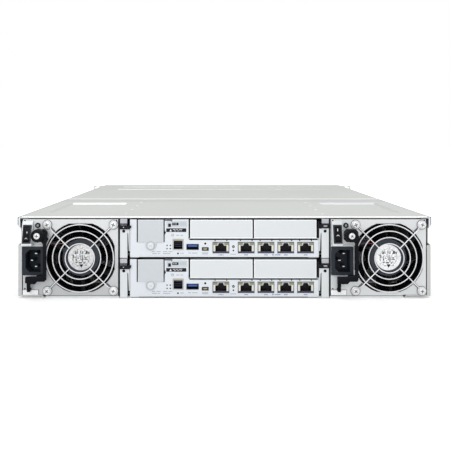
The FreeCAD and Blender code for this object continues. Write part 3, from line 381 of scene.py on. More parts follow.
class Bench:
    """Modelling by hand: each call adds or shapes one piece in object or edit mode."""

    @staticmethod
    def bevel(piece: bpy.types.Object, chosen: Callable[[object], bool], soft: float, steps: int = 2) -> None:
        """Rounds the chosen edges of a piece."""
        Bench.shape(piece, chosen, "EDGE", [
            lambda: bpy.ops.mesh.bevel(offset=soft * MM, segments=steps, affect="EDGES")])

    @staticmethod
    def clear() -> None:
        """Leaves nothing selected."""
        bpy.ops.object.select_all(action="DESELECT")

    @staticmethod
    def pick(*pieces: bpy.types.Object) -> None:
        """Leaves only these selected, with the first one active."""
        Bench.clear()
        for piece in pieces:
            piece.select_set(True)
        bpy.context.view_layer.objects.active = pieces[0]

    @staticmethod
    def settle(piece: bpy.types.Object) -> bpy.types.Object:
        """Puts the piece's place into its mesh, with its object at the origin."""
        Bench.pick(piece)
        bpy.ops.object.transform_apply(location=True, rotation=True, scale=True)
        return piece

    @staticmethod
    def shape(piece: bpy.types.Object, chosen: Callable[[object], bool], level: str,
              moves: Sequence[Callable[[], object]]) -> bpy.types.Object:
        """Selects some of a piece by their place or normal and works on them.

        Args:
            piece: What to shape.
            chosen: Says which vertices, edges or faces are worked on.
            level: VERT, EDGE or FACE.
            moves: Operators, each called in turn on what is selected.

        Returns:
            The piece.
        """
        Bench.pick(piece)
        bpy.ops.object.mode_set(mode="EDIT")
        bpy.ops.mesh.select_mode(type=level)
        bpy.ops.mesh.select_all(action="DESELECT")
        mesh = bmesh.from_edit_mesh(piece.data)
        for part in {"VERT": mesh.verts, "EDGE": mesh.edges, "FACE": mesh.faces}[level]:
            part.select_set(bool(chosen(part)))
        bmesh.update_edit_mesh(piece.data)
        for work in moves:
            work()
        bpy.ops.object.mode_set(mode="OBJECT")
        return piece

    @staticmethod
    def block(low: Point, high: Point, soft: float = 0.0, steps: int = 2) -> bpy.types.Object:
        """A box between two corners with rounded edges.

        Args:
            low: Lowest corner.
            high: Highest corner.
            soft: Radius of the edges.
            steps: Faces across each rounded edge.

        Returns:
            The box.
        """
        Bench.clear()
        middle = metres((a + b) / 2 for a, b in zip(low, high))
        size = metres(b - a for a, b in zip(low, high))
        bpy.ops.mesh.primitive_cube_add(size=1.0, location=middle)
        piece = bpy.context.object
        piece.scale = size
        Bench.settle(piece)
        if soft:
            Bench.bevel(piece, lambda edge: True, soft, steps)
        return piece

    @staticmethod
    def drum(centre: Point, radius: float, depth: float, axis: str = "Y", sides: int = 48,
             soft: float = 0.0, steps: int = 2) -> bpy.types.Object:
        """A round piece along one axis with rounded rims.

        Args:
            centre: Its middle.
            radius: Its radius.
            depth: Its length.
            axis: X, Y or Z.
            sides: Faces round it.
            soft: Radius of the rims.
            steps: Faces across each rim.

        Returns:
            The piece.
        """
        Bench.clear()
        turn = {"X": (0.0, math.pi / 2, 0.0), "Y": (math.pi / 2, 0.0, 0.0), "Z": (0.0, 0.0, 0.0)}[axis]
        bpy.ops.mesh.primitive_cylinder_add(vertices=sides, radius=radius * MM, depth=depth * MM,
                                            location=metres(centre), rotation=turn)
        piece = Bench.settle(bpy.context.object)
        if soft:
            index = "XYZ".index(axis)
            Bench.bevel(piece, lambda edge: abs(edge.verts[0].co[index] - edge.verts[1].co[index]) < 1e-6,
                        soft, steps)
        return piece

    @staticmethod
    def ring(centre: Point, radius: float, wire: float, sides: int = 72,
             around: int = 10) -> bpy.types.Object:
        """A wire ring facing along Y."""
        Bench.clear()
        bpy.ops.mesh.primitive_torus_add(
            major_radius=radius * MM, minor_radius=wire * MM, major_segments=sides, minor_segments=around,
            location=metres(centre), rotation=(math.pi / 2, 0.0, 0.0))
        return Bench.settle(bpy.context.object)

    @staticmethod
    def wire(points: Sequence[Point], radius: float, steps: int = 6) -> bpy.types.Object:
        """A round wire through smooth bends.

        Args:
            points: Its route.
            radius: Half its thickness.
            steps: Divisions of each bend.

        Returns:
            The wire as a mesh.
        """
        Bench.clear()
        curve = bpy.data.curves.new("wire", "CURVE")
        curve.dimensions = "3D"
        curve.bevel_depth = radius * MM
        curve.bevel_resolution = 3
        curve.use_fill_caps = True
        curve.resolution_u = steps
        spline = curve.splines.new("NURBS")
        spline.points.add(len(points) - 1)
        for knot, point in zip(spline.points, points):
            knot.co = (*metres(point), 1.0)
        spline.order_u = 3
        spline.use_endpoint_u = True
        made = bpy.data.objects.new("wire", curve)
        bpy.context.collection.objects.link(made)
        Bench.pick(made)
        bpy.ops.object.convert(target="MESH")
        return Bench.settle(bpy.context.object)

    @staticmethod
    def outline(points: Sequence[Span], front: float, back: float, soft: float = 0.0) -> bpy.types.Object:
        """A flat piece with the given outline seen along Y.

        Args:
            points: Corners as (x, z), in order.
            front: Nearer y.
            back: Farther y.
            soft: Radius of the front and back rims.

        Returns:
            The piece.
        """
        Bench.clear()
        bpy.ops.mesh.primitive_circle_add(vertices=len(points), radius=1.0, fill_type="NGON")
        piece = bpy.context.object
        for corner, (x, z) in zip(piece.data.vertices, points):
            corner.co = metres((x, front, z))
        way = (0.0, (back - front) * MM, 0.0)
        Bench.shape(piece, lambda face: True, "FACE", [
            lambda: bpy.ops.mesh.extrude_region_move(TRANSFORM_OT_translate={"value": way}),
            lambda: bpy.ops.mesh.select_all(action="SELECT"),
            lambda: bpy.ops.mesh.normals_make_consistent(inside=False)])
        if soft:
            Bench.bevel(piece, lambda edge: abs(edge.verts[0].co.y - edge.verts[1].co.y) < 1e-7, soft)
        return piece

    @staticmethod
    def carve(piece: bpy.types.Object, cutter: bpy.types.Object) -> bpy.types.Object:
        """Takes the cutter's shape out of the piece."""
        Bench.pick(piece)
        tool = piece.modifiers.new("carve", "BOOLEAN")
        tool.object = cutter
        tool.operation = "DIFFERENCE"
        tool.solver = "EXACT"
        bpy.ops.object.modifier_apply(modifier=tool.name)
        bpy.data.objects.remove(cutter)
        return piece

    @staticmethod
    def join(pieces: Sequence[bpy.types.Object]) -> bpy.types.Object:
        """Makes one object of several."""
        Bench.pick(*pieces)
        if len(pieces) > 1:
            bpy.ops.object.join()
        return Bench.settle(bpy.context.object)

    @staticmethod
    def copy(piece: bpy.types.Object, matrix: Matrix) -> bpy.types.Object:
        """Another of the same piece, with a mesh of its own, moved by a matrix."""
        made = piece.copy()
        made.data = piece.data.copy()
        made.data.transform(matrix)
        bpy.context.collection.objects.link(made)
        return made

    @staticmethod
    def done(piece: bpy.types.Object, name: str, body: str, finish: Finish, slot: str,
             smooth: bool = True) -> bpy.types.Object:
        """Names, dresses and fixes a piece to its body.

        Args:
            piece: The piece.
            name: Its name.
            body: The body it moves with.
            finish: Its finish.
            slot: The record's material slot; not used.
            smooth: Whether rounded faces are shaded smooth.

        Returns:
            The piece.
        """
        Bench.pick(piece)
        if smooth:
            bpy.ops.object.shade_smooth_by_angle(angle=math.radians(35.0))
        piece.name = name
        piece.data.name = name
        piece.data.materials.clear()
        piece.data.materials.append(finish.material())
        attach(piece, body)
        LOG.info("piece %s on %s", name, body)
        return piece


def move(x: float, y: float, z: float, turn: float = 0.0, axis: str = "Y") -> Matrix:
    """A turn in degrees about an axis through the origin, and then a move."""
    return Matrix.Translation(metres((x, y, z))) @ Matrix.Rotation(math.radians(turn), 4, axis)


CROSS_LONG, CROSS_WIDE = 1.2, 0.26  # arms of a screw's cross, as shares of the head's radius
HEAD_ROUND = 0.42                   # rounding of a screw's head, as a share of its height
RECESS_FLOOR = 0.3                  # where its cross ends, as a share of its height


def cross_bars(centre: Point, radius: float, front: float, back: float,
               turn: float) -> list[bpy.types.Object]:
    """The two bars of a screw's cross, between two heights above the face that the head lies on.

    Args:
        centre: Middle of that face.
        radius: Radius of the head.
        front: Height of the bars' outer ends.
        back: Height of their inner ends.
        turn: How far the cross is turned, in degrees.

    Returns:
        The bars.
    """
    x, y, z = centre
    bars = []
    arm, width = radius * CROSS_LONG, radius * CROSS_WIDE
    for wide, tall in ((arm, width), (width, arm)):
        bar = Bench.block((-wide / 2, y - front, -tall / 2), (wide / 2, y - back, tall / 2))
        bar.data.transform(move(x, 0.0, z, turn))
        bars.append(bar)
    return bars


def cross_screw(centre: Point, radius: float, height: float, turn: float = 0.0) -> bpy.types.Object:
    """A pan-head screw facing -Y, with a cross recess.

    Args:
        centre: Middle of the face that the head lies on.
        radius: Radius of the head.
        height: Height of the head.
        turn: How far the cross is turned, in degrees.

    Returns:
        The head.
    """
    x, y, z = centre
    head = Bench.drum((x, y - height / 2, z), radius, height, "Y", 32, height * HEAD_ROUND, 3)
    for cutter in cross_bars(centre, radius, height + 1.0, height * RECESS_FLOOR, turn):
        Bench.carve(head, cutter)
    return head


@dataclass
class Unit:
    """A part of the shelf whose pieces are named after it."""

    name: str = field(init=False)

    def put(self, pieces: Sequence[bpy.types.Object], label: str, finish: Finish, slot: str,
            smooth: bool = True, body: str = "") -> bpy.types.Object:
        """Joins pieces into one that rides on the unit.

        Args:
            pieces: The pieces.
            label: What follows the unit's name in the name of the whole.
            finish: Its finish.
            slot: The record's material slot.
            smooth: Whether rounded faces are shaded smooth.
            body: The body it moves with, if it isn't the unit itself.

        Returns:
            The whole.
        """
        return Bench.done(Bench.join(pieces), f"{self.name}_{label}", body or self.name, finish, slot, smooth)


@dataclass
class Chassis:
    """Small things on the covers and the sides: rivets, screws of the rack ears, and at the tray, light caps
    painted on its lips' ends and a dark strip of painted shade under the controllers.
    """

    rivet_x: float = 108.6
    rivet_radius: float = 2.2
    rivet_rows: tuple[float, ...] = (20.0, 65.0, 109.0, 154.0, 197.0)
    ear_screws: tuple[Span, ...] = ((26.0, 14.0), (26.0, 46.0), (10.0, 30.0))
    ear_face: float = 224.4
    ear_back: float = 246.0
    lip_x: Span = (220.7, 222.7)
    lip_z: Span = (76.0, 86.9)
    shade_strip_half: float = 101.0

    def build(self) -> None:
        """Makes the rivet heads, the ear screws, and the painted light caps and shade strip at the tray."""
        self.rivets()
        self.side_screws()
        self.lip_caps_and_shade_strip()

    def rivets(self) -> None:
        """Domed heads in two rows down the service-side cover, in place of plain six-sided ones."""
        low, high = spots(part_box("cover_fasteners"))
        rear = spots(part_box("rear_top_cover"))[0].y
        tall = high.z - low.z
        one = Bench.drum((0.0, 0.0, low.z + tall / 2), self.rivet_radius, tall, "Z", 24, tall * 0.6, 3)
        heads = [Bench.copy(one, move(side * self.rivet_x, rear + row, 0.0))
                 for side in (-1, 1) for row in self.rivet_rows]
        bpy.data.objects.remove(one)
        made = Bench.done(Bench.join(heads), "cover_rivets", "chassis", RIVET, "fastener_steel")
        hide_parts("cover_fasteners")

    def lip_caps_and_shade_strip(self) -> None:
        """Light caps on the hollow ends of the two upper lips, a painted highlight for their lit insides, and
        a dark strip under the controllers, painted shade in the gap beneath the faceplates.
        """
        rear = spots(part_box("controller_lower_canister"))[0].y
        ends = []
        # Light plates closing the hollow ends of the upper lips: painted highlight for their lit insides.
        for side in (-1, 1):
            x0, x1 = sorted(side * x for x in self.lip_x)
            ends.append(Bench.block((x0, rear - 0.1, self.lip_z[0]), (x1, rear + 0.3, self.lip_z[1]), 0.05))
        Bench.done(Bench.join(ends), "lip_light_caps", "chassis", FACE, "chassis_steel", False)
        # Near-black strip: painted shade in the gap under the controllers' faceplates.
        edge = Bench.block((-self.shade_strip_half, rear + 1.6, 0.05), (self.shade_strip_half, rear + 8.9, 1.1))
        Bench.done(edge, "base_shade_strip", "chassis", DARK_HOLE, "chassis_steel", False)

    def side_screws(self) -> None:
        """Three flat cross-head screws through the leg of each rack ear."""
        screws = []
        for side in (-1, 1):
            for back, height in self.ear_screws:
                head = cross_screw((0.0, 0.0, 0.0), 3.2, 0.9, 20.0 + 40.0 * back)
                place = move(side * self.ear_face, self.ear_back - back, height, 90.0 * side, "Z")
                screws.append(Bench.copy(head, place))
                bpy.data.objects.remove(head)
        Bench.done(Bench.join(screws), "ear_screws", "chassis", SCREW, "fastener_steel")


@dataclass
class PowerModule(Unit):
    """One power module: guard, fan label, leads, pull handle with its knob, lamp and switch marks."""

    side: str
    rings: tuple[float, ...] = (15.7, 22.4, 29.3, 36.2)
    wire: float = 0.6
    hole_pitch: float = 71.5
    knob: Span = (-31.9, 69.0)
    lamp_place: Span = (-35.2, 78.4)
    spoke: tuple[Span, ...] = ((14.9, 4.7), (28.0, 4.7), (40.0, 4.7), (43.4, 4.5), (45.4, 1.3), (46.9, 1.0))
    label_radius: float = 13.9
    label_bars: int = 34
    lead_radius: float = 0.34
    knob_radius: float = 6.55
    knob_out: Span = (7.2, 15.4)

    def __post_init__(self) -> None:
        """Reads the places of the module's solids."""
        self.name = f"psu_{self.side}"
        self.handle_body = f"{self.name}_pull_handle"
        low, high = spots(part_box(f"{self.name}_fan_frame"))
        self.axis_x = (low.x + high.x) / 2
        self.axis_z = (low.z + high.z) / 2
        self.rear = low.y - 1.0
        self.middle = self.axis_x - FAN_ASIDE

    def slab(self, u: Span, out: Span, z: Span, soft: float = 0.0) -> bpy.types.Object:
        """A block, from the module's middle line and out of the service plane."""
        return Bench.block((self.middle + u[0], self.rear - out[1], z[0]),
                           (self.middle + u[1], self.rear - out[0], z[1]), soft)

    def build(self) -> None:
        """Makes every piece of the module."""
        self.guard()
        self.hub()
        self.leads()
        self.handle()
        self.knurled_knob()
        self.lamp()
        self.switch_marks()
        self.relief_dots()
        self.inlet_terminals()

    def guard(self) -> None:
        """Finger guard of round wire: rings, diagonal wires and the eyes under the screws."""
        x, z, y = self.axis_x, self.axis_z, self.rear
        parts = [Bench.ring((x, y - 3.6, z), radius, self.wire) for radius in self.rings]
        reach = self.hole_pitch / 2 * math.sqrt(2.0)
        spoke = Bench.wire([(r, y - out, 0.0) for r, out in self.spoke], self.wire)
        eye = Bench.ring((reach, y - 0.9, 0.0), 4.2, self.wire * 0.95, 32, 8)
        washer = Bench.drum((reach, y - 0.8, 0.0), 3.7, 1.0, "Y", 32, 0.2)
        # A dark ring round each eye and a dark strip under each spoke on the plate: painted shade.
        outline = Bench.ring((reach, y - 0.4, 0.0), 5.0, 0.26, 40, 8)
        strip = Bench.block((39.4, y + 0.08, -1.25), (reach - 4.6, y + 0.3, 1.25))
        screws, lines, crosses = [], [], []
        for i in range(4):
            turn = move(x, 0.0, z, 45.0 + 90.0 * i)
            parts += [Bench.copy(piece, turn) for piece in (spoke, eye, washer)]
            lines += [Bench.copy(piece, turn) for piece in (outline, strip)]
            place = turn @ Vector((reach * MM, 0.0, 0.0))
            seat = (place.x / MM, y - 1.3, place.z / MM)
            screws.append(cross_screw(seat, 3.5, 2.2, 12.0 + 31.0 * i))
            # Dark crosses laid into the screw heads: painted shade in the recesses.
            crosses += cross_bars(seat, 3.1, 1.9, 0.7, 12.0 + 31.0 * i)
        for spare in (spoke, eye, washer, outline, strip):
            bpy.data.objects.remove(spare)
        self.put(lines, "guard_shades", SHADE_LINE, "guard_wire")
        self.put(crosses, "guard_crosses", DRIVER_RECESS, "fastener_steel", False)
        wires = self.put(parts, "guard_wires", BRIGHT, "guard_wire")
        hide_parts(f"{self.name}_fan_guard")
        self.put(screws, "guard_screws", SCREW, "fastener_steel")

    def hub(self) -> None:
        """Plain round label in the middle of the fan, with a ring, bars and a triangle printed on it."""
        x, z, y = self.axis_x, self.axis_z, self.rear + 1.8
        label = Bench.drum((x, y - 0.1, z), self.label_radius, 0.24, "Y", 72, 0.05)
        self.put([label], "hub_label", STICKER, "fan_plastic")
        face = y - 0.22
        marks = [Bench.ring((x, face, z), 9.4, 0.14, 64, 6)]
        for low_u, high_u, low_v, high_v in (
                (-6.2, -4.6, 3.4, 6.6), (-4.0, -3.2, 4.2, 7.6), (-0.6, 0.4, 4.4, 6.6), (1.6, 2.6, 4.0, 7.0),
                (5.2, 7.4, 3.8, 7.2), (8.0, 9.4, 4.0, 6.2), (-8.6, -7.4, -1.0, 3.0), (-5.6, -4.8, -3.6, 1.8),
                (-3.8, -1.6, -1.2, -0.4), (-0.4, 0.4, -3.0, 2.4), (1.4, 2.4, -4.2, 1.2),
                (3.6, 6.6, -0.6, 0.2), (3.8, 7.6, -2.6, -1.8), (-6.2, -3.2, -5.6, -4.6),
                (-2.4, 1.2, -6.4, -5.0), (2.6, 4.4, -6.6, -5.2)):
            marks.append(Bench.block((x + low_u, face - 0.02, z + low_v),
                                     (x + high_u, face + 0.05, z + high_v), 0.02))
        for i in range(self.label_bars):
            angle, out = i * 2.4, 2.0 + 0.27 * i
            bar = Bench.block((-0.8, -0.02, -0.3), (0.8, 0.05, 0.3))
            bar.data.transform(move(x + out * math.cos(angle), face, z + out * math.sin(angle),
                                    math.degrees(angle + 0.9)))
            marks.append(bar)
        self.put(marks, "hub_marks", STICKER_INK, "fan_plastic", False)
        tip = [(x + a, z + b) for a, b in ((-1.8, -7.4), (2.6, -7.4), (0.6, -11.2))]
        pointer = Bench.outline(tip, face - 0.03, face + 0.05)
        self.put([pointer], "hub_pointer", GREY_INK, "fan_plastic", False)

    def leads(self) -> None:
        """Thin motor leads that cross the duct beside the upper left strut."""
        x, z, y = self.axis_x, self.axis_z, self.rear + 2.4
        first = ("amber", (0.34, 0.17, 0.055)) if self.side == "left" else ("red", (0.30, 0.05, 0.04))
        for i, (name, colour) in enumerate((first, ("blue", (0.02, 0.05, 0.15)),
                                            ("black", (0.01, 0.01, 0.01)))):
            end = -14.5 if i == 0 else -22.5
            route = [(x + u, y, z + (14.6 + 1.15 * i + rise))
                     for u, rise in ((-36.5, 0.9), (-31.0, 0.1), (-26.0, 0.0), (-23.5, 0.5), (end, 0.4))]
            finish = Finish(f"lead_{name}", colour, Grain.SMOOTH, 0.0, 0.45, 0.05)
            self.put([Bench.wire(route, self.lead_radius)], f"lead_{name}", finish, "fan_plastic")

    def plate(self, points: Sequence[Span], out: Span, soft: float) -> bpy.types.Object:
        """A flat piece of the handle."""
        corners = [(self.middle + u, z) for u, z in points]
        return Bench.outline(corners, self.rear - out[1], self.rear - out[0], soft)

    def handle(self) -> None:
        """Moulded pull handle: arm with rounded rims, leg down to the hinge, cheeks and the knob's boss."""
        arm = self.plate([(-23.9, 21.4), (-23.9, 60.0), (-21.8, 65.0), (-25.0, 72.0), (-30.0, 72.0),
                          (-30.0, 64.0), (-27.0, 60.0), (-27.0, 26.4), (-33.5, 26.4), (-34.5, 24.8),
                          (-45.6, 24.6), (-45.9, 18.6), (-41.0, 17.2), (-35.5, 17.2), (-33.0, 19.8),
                          (-25.4, 19.8)], (6.6, 11.4), 0.45)
        leg = self.plate([(-45.8, 24.0), (-41.2, 24.0), (-41.9, 7.8), (-45.1, 7.8)], (4.8, 7.0), 0.35)
        u, z = self.knob
        cut = 2.6
        left, right, low, high = u - 6.4, u + 8.6, z - 7.6, z + 6.1
        boss = self.plate([(left + cut, low), (right - cut, low), (right, low + cut), (right, high - cut),
                           (right - cut, high), (left + cut, high), (left, high - cut), (left, low + cut)],
                          (4.2, 7.4), 0.5)
        cheeks = [self.slab((-43.5 + side - 0.5, -43.5 + side + 0.5), (1.6, 5.0), (8.6, 11.5), 0.2)
                  for side in (-1.4, 1.4)]
        whole = self.put([arm, leg, boss, *cheeks], "moulded_handle", BLACK, "black_plastic",
                         body=self.handle_body)
        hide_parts(f"{self.name}_handle")

    def knurled_knob(self) -> None:
        """Knurled captive screw with a bright cross-recessed head."""
        x, z = self.middle + self.knob[0], self.knob[1]
        back, front = (self.rear - out for out in self.knob_out)
        drum = Bench.drum((x, (front + back) / 2, z), self.knob_radius, back - front, "Y", 72, 0.5)
        sides = [face.index for face in drum.data.polygons
                 if abs(face.normal.y) < 0.1 and face.area > 2.0e-6]
        ribs = set(sides[::2])
        Bench.shape(drum, lambda face: face.index in ribs, "FACE", [
            lambda: bpy.ops.mesh.inset(thickness=0.04 * MM, use_individual=True),
            lambda: bpy.ops.mesh.extrude_region_shrink_fatten(
                TRANSFORM_OT_shrink_fatten={"value": 0.35 * MM})])
        Bench.carve(drum, Bench.drum((x, front, z), 4.0, 2.0, "Y", 32))
        self.put([drum], "knurled_knob", BLACK, "black_plastic", body=self.handle_body)
        seat, turn = (x, front + 0.9, z), 8.0 if self.side == "left" else 30.0
        self.put([cross_screw(seat, 3.3, 2.9, turn)], "knob_screw", SCREW, "fastener_steel",
                 body=self.handle_body)
        # Dark cross laid into the head: painted shade in its recess.
        self.put(cross_bars(seat, 2.9, 2.5, 0.9, turn), "knob_cross", DRIVER_RECESS, "fastener_steel", False,
                 self.handle_body)

    def lamp(self) -> None:
        """Domed lens of the status lamp in its black holder."""
        x, z, y = self.middle + self.lamp_place[0], self.lamp_place[1], self.rear
        lens = Bench.drum((x, y - 0.5, z), 1.4, 0.8, "Y", 24, 0.35, 3)
        self.put([lens], "lamp_lens", LENS_DULL, "black_plastic")
        self.put([Bench.ring((x, y - 0.85, z), 2.35, 0.5, 32, 8)], "lamp_collar", BLACK, "black_plastic")

    def switch_marks(self) -> None:
        """The bar and the ring on the two slopes of the rocker."""
        up, out = (0.2499, 0.9683), (-0.9683, 0.2499)
        x = (self.middle - 45.1) * MM
        middle = (self.rear - 6.11, 69.6)

        def place(s: float, n: float, lean: float) -> Matrix:
            """Matrix from a mark's own axes to the rocker, s up its slope and n out of it."""
            c, d = math.cos(math.radians(lean)), math.sin(math.radians(lean))
            along = (up[0] * c + out[0] * d, up[1] * c + out[1] * d)
            outward = (out[0] * c - up[0] * d, out[1] * c - up[1] * d)
            y, z = ((middle[i] + up[i] * s + out[i] * n) * MM for i in (0, 1))
            return Matrix(((1.0, 0.0, 0.0, x), (0.0, -outward[0], along[0], y),
                           (0.0, -outward[1], along[1], z), (0.0, 0.0, 0.0, 1.0)))
        bar_s, bar_half, ring_s = (4.6, 1.5, -2.1) if self.side == "right" else (2.0, 0.95, -5.4)
        bar = Bench.block((-0.42, -0.05, -bar_half), (0.42, 0.1, bar_half), 0.04)
        bar.data.transform(place(bar_s, 0.48, 0.0))
        ring = Bench.ring((0.0, 0.0, 0.0), 1.15, 0.32, 28, 6)
        share = (ring_s - 0.292) / (-6.80 - 0.292)
        ring.data.transform(place(ring_s, 0.30 + share * 2.0, 15.8))
        self.put([bar, ring], "switch_marks", WHITE_INK_AND_GLINT, "switch_plastic", body=f"{self.name}_rocker")

    def relief_dots(self) -> None:
        """Dark discs at the corners of the faceplate: painted shade in small round reliefs."""
        low, high = spots(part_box(f"{self.name}_housing"))
        dots = [Bench.drum((x, self.rear + 0.15, z), 0.8, 0.2, "Y", 16, 0.05) for x, z in (
            (low.x + 2.1, 10.0), (low.x + 2.1, 83.6), (high.x - 1.7, 4.9), (high.x - 1.7, 83.6))]
        self.put(dots, "relief_dots", DARK_HOLE, "psu_paint")

    def inlet_terminals(self) -> None:
        """Bright ends of the three blades in the mains inlet."""
        tips = [self.slab((u - 1.15, u + 1.15), (-2.2, -0.75), (z - 0.55, z + 0.55), 0.2)
                for u, z in ((-37.4, 47.9), (-37.4, 33.9), (-41.8, 40.5))]
        self.put(tips, "inlet_blades", SCREW, "black_plastic")


@dataclass
class Controller(Unit):
    """One controller: port details, lamps, plain marks, the battery's screw, painted shade in the levers'
    holes and a painted glint on their catches.
    """

    tier: str
    jacks: tuple[float, ...] = (-3.8, 23.5, 44.9, 66.3, 87.7)

    def __post_init__(self) -> None:
        """Reads the places of the controller's solids."""
        self.name = f"controller_{self.tier}"
        low = spots(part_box(f"{self.name}_canister"))[0]
        self.base = low.z
        self.rear = low.y

    def plate(self, x: Span, z: Span, proud: float = 0.06, deep: float = 0.3,
              soft: float = 0.0) -> bpy.types.Object:
        """A thin plate on the faceplate, from the middle and the controller's underside."""
        return Bench.block((min(x), self.rear - proud, self.base + z[0]),
                           (max(x), self.rear + deep, self.base + z[1]), soft)

    def dot(self, x: float, z: float, radius: float) -> bpy.types.Object:
        """A round spot on the faceplate with a softened rim."""
        return Bench.drum((x, self.rear + 0.24, self.base + z), radius, 0.6, "Y", 20, 0.03)

    def flat(self, pieces: Sequence[bpy.types.Object], label: str, finish: Finish,
             slot: str = "face_paint") -> None:
        """Joins flat pieces into one that rides on the controller."""
        self.put(pieces, label, finish, slot, False)

    def build(self) -> None:
        """Makes every piece of the controller."""
        self.jack_details()
        self.other_ports()
        self.lamps()
        self.marks()
        self.small_print()
        self.battery_screw()
        self.lower_fold()
        self.lever_details()

    def jack_details(self) -> None:
        """Cheeks, lamp windows, foot strip and contacts of the network jacks."""
        cheeks, straw, olive, feet, contacts, tabs, rims = [], [], [], [], [], [], []
        for x in self.jacks:
            for side, windows in ((-1, straw), (1, olive)):
                cheeks.append(self.plate((x + side * 6.2, x + side * 8.3), (5.6, 12.0), 0.42, 0.6))
                windows.append(self.plate((x + side * 3.7, x + side * 8.0), (12.3, 15.0), 0.42, 0.6, 0.08))
                # Rims round each jack's opening: painted shade.
                rims.append(self.plate((x + side * 8.2, x + side * 8.8), (3.2, 15.4), 0.44, 0.6))
            rims.append(self.plate((x - 8.8, x + 8.8), (14.9, 15.4), 0.44, 0.6))
            feet.append(self.plate((x - 8.6, x + 8.6), (3.5, 5.5), 0.46, 0.6, 0.08))
            for i in range(8):
                u = x + (i - 3.5) * 1.02
                contacts.append(self.plate((u - 0.2, u + 0.2), (4.9, 5.4), -2.0, 12.0))
            tabs += [self.plate((x + side * 5.7, x + side * 6.9), (16.6, 17.6), 0.03, 0.3)
                     for side in (-1, 1)]
        for pieces, label, finish in (
                (cheeks, "jack_cheeks", CREAM), (straw, "jack_windows_left", STRAW_WINDOW),
                (olive, "jack_windows_right", OLIVE_WINDOW), (rims, "jack_shade_rims", SHADE_LINE),
                (feet, "jack_feet", CONTACT_STRIP), (contacts, "jack_contacts", GOLD),
                (tabs, "shield_tabs", GREY_INK)):
            self.flat(pieces, label, finish, "port_shield")

    def other_ports(self) -> None:
        """Strip over the storage port, its inner ribs, and the small sockets' tongues."""
        for pieces, label, finish in (
                ([self.plate((-55.3, -44.7), (17.0, 18.3), 0.4, 0.9, 0.1)], "storage_strip", OCHRE),
                ([self.plate((-54.4, -45.8), (z, z + 0.5), -2.2, 9.0) for z in (10.2, 12.6, 15.0)],
                 "storage_ribs", CONTACT_STRIP),
                ([self.plate((-45.0, -44.4), (7.4, 16.8), 0.4, 0.9)], "storage_side", SHIELD),
                ([self.plate((-39.4, -29.4), (10.3, 12.3), -0.2, 10.0, 0.1)], "usb_tongue", TONGUE_BLUE),
                ([self.plate((-22.8, -18.6), (7.4, 8.6), 0.35, 6.0, 0.1)], "service_tongue", OCHRE)):
            self.flat(pieces, label, finish, "port_shield")

    def lamps(self) -> None:
        """Dark spots and lenses in the faceplate."""
        # Near-black discs: painted shade in the faceplate's holes.
        self.flat([self.dot(x, z, r) for x, z, r in (
            (-62.0, 11.8, 0.75), (-58.5, 11.8, 0.75), (-62.0, 8.3, 0.75), (-58.5, 8.3, 0.75),
            (9.7, 6.3, 0.85), (-50.2, 3.1, 0.95), (9.7, 10.5, 1.5), (-20.7, 13.8, 1.15))],
                  "faceplate_holes", DARK_HOLE)
        lens = Bench.drum((9.7, self.rear + 0.2, self.base + 10.5), 0.85, 0.7, "Y", 20, 0.2)
        self.put([lens], "lamp_lens", LENS_DULL, "face_paint")

    def marks(self) -> None:
        """Plain printed blocks beside the battery, a dark line at the faceplate's top edge, and the battery
        catch's notch painted dark as shade.
        """
        self.flat([self.plate((-62.6, -40.2), (31.2, 38.4), 0.02)], "tint_panel", PANEL_TINT)
        self.flat([self.plate((-64.6, -57.4), (38.5, 39.8), 0.05),
                   self.plate((-57.3, -56.3), (37.7, 39.8), 0.05)], "top_edge", CONTACT_STRIP)
        self.flat([self.plate((-60.8, -57.8), (31.8, 35.4), 0.05),
                   self.plate((-56.4, -49.6), (33.6, 36.4), 0.05),
                   self.plate((-62.9, -41.2), (26.3, 30.3), 0.05)], "dark_marks", GREY_INK)
        light = [self.plate((x0, x1), (z, z + tall), 0.07) for x0, x1, z, tall in (
            (-55.2, -53.9, 34.8, 0.5), (-53.2, -51.4, 34.8, 0.5), (-55.8, -53.0, 28.7, 0.55),
            (-52.2, -50.2, 28.7, 0.55), (-49.2, -45.6, 28.7, 0.55), (-54.6, -52.4, 27.3, 0.45),
            (-51.0, -48.8, 27.3, 0.45), (-47.4, -46.2, 27.3, 0.45))]
        corners = [(u, self.base + v) for u, v in ((-59.4, 26.9), (-56.9, 26.9), (-58.15, 29.6))]
        light.append(Bench.outline(corners, self.rear - 0.07, self.rear + 0.2))
        self.flat(light, "light_marks", WHITE_INK_AND_GLINT)
        faint = [self.plate((-48.4, -41.6), (z, z + 0.4), 0.04) for z in (33.8, 34.9, 36.0)]
        self.flat(faint, "faint_lines", FAINT_INK)
        # Notch and slot of the battery's catch in near black: painted shade.
        notch = Bench.drum((-64.2, self.rear + 0.3, self.base + 25.8), 1.0, 0.9, "Y", 20, 0.05)
        self.flat([notch, self.plate((-64.7, -63.9), (23.6, 28.0), 0.05)], "battery_catch", DARK_HOLE)

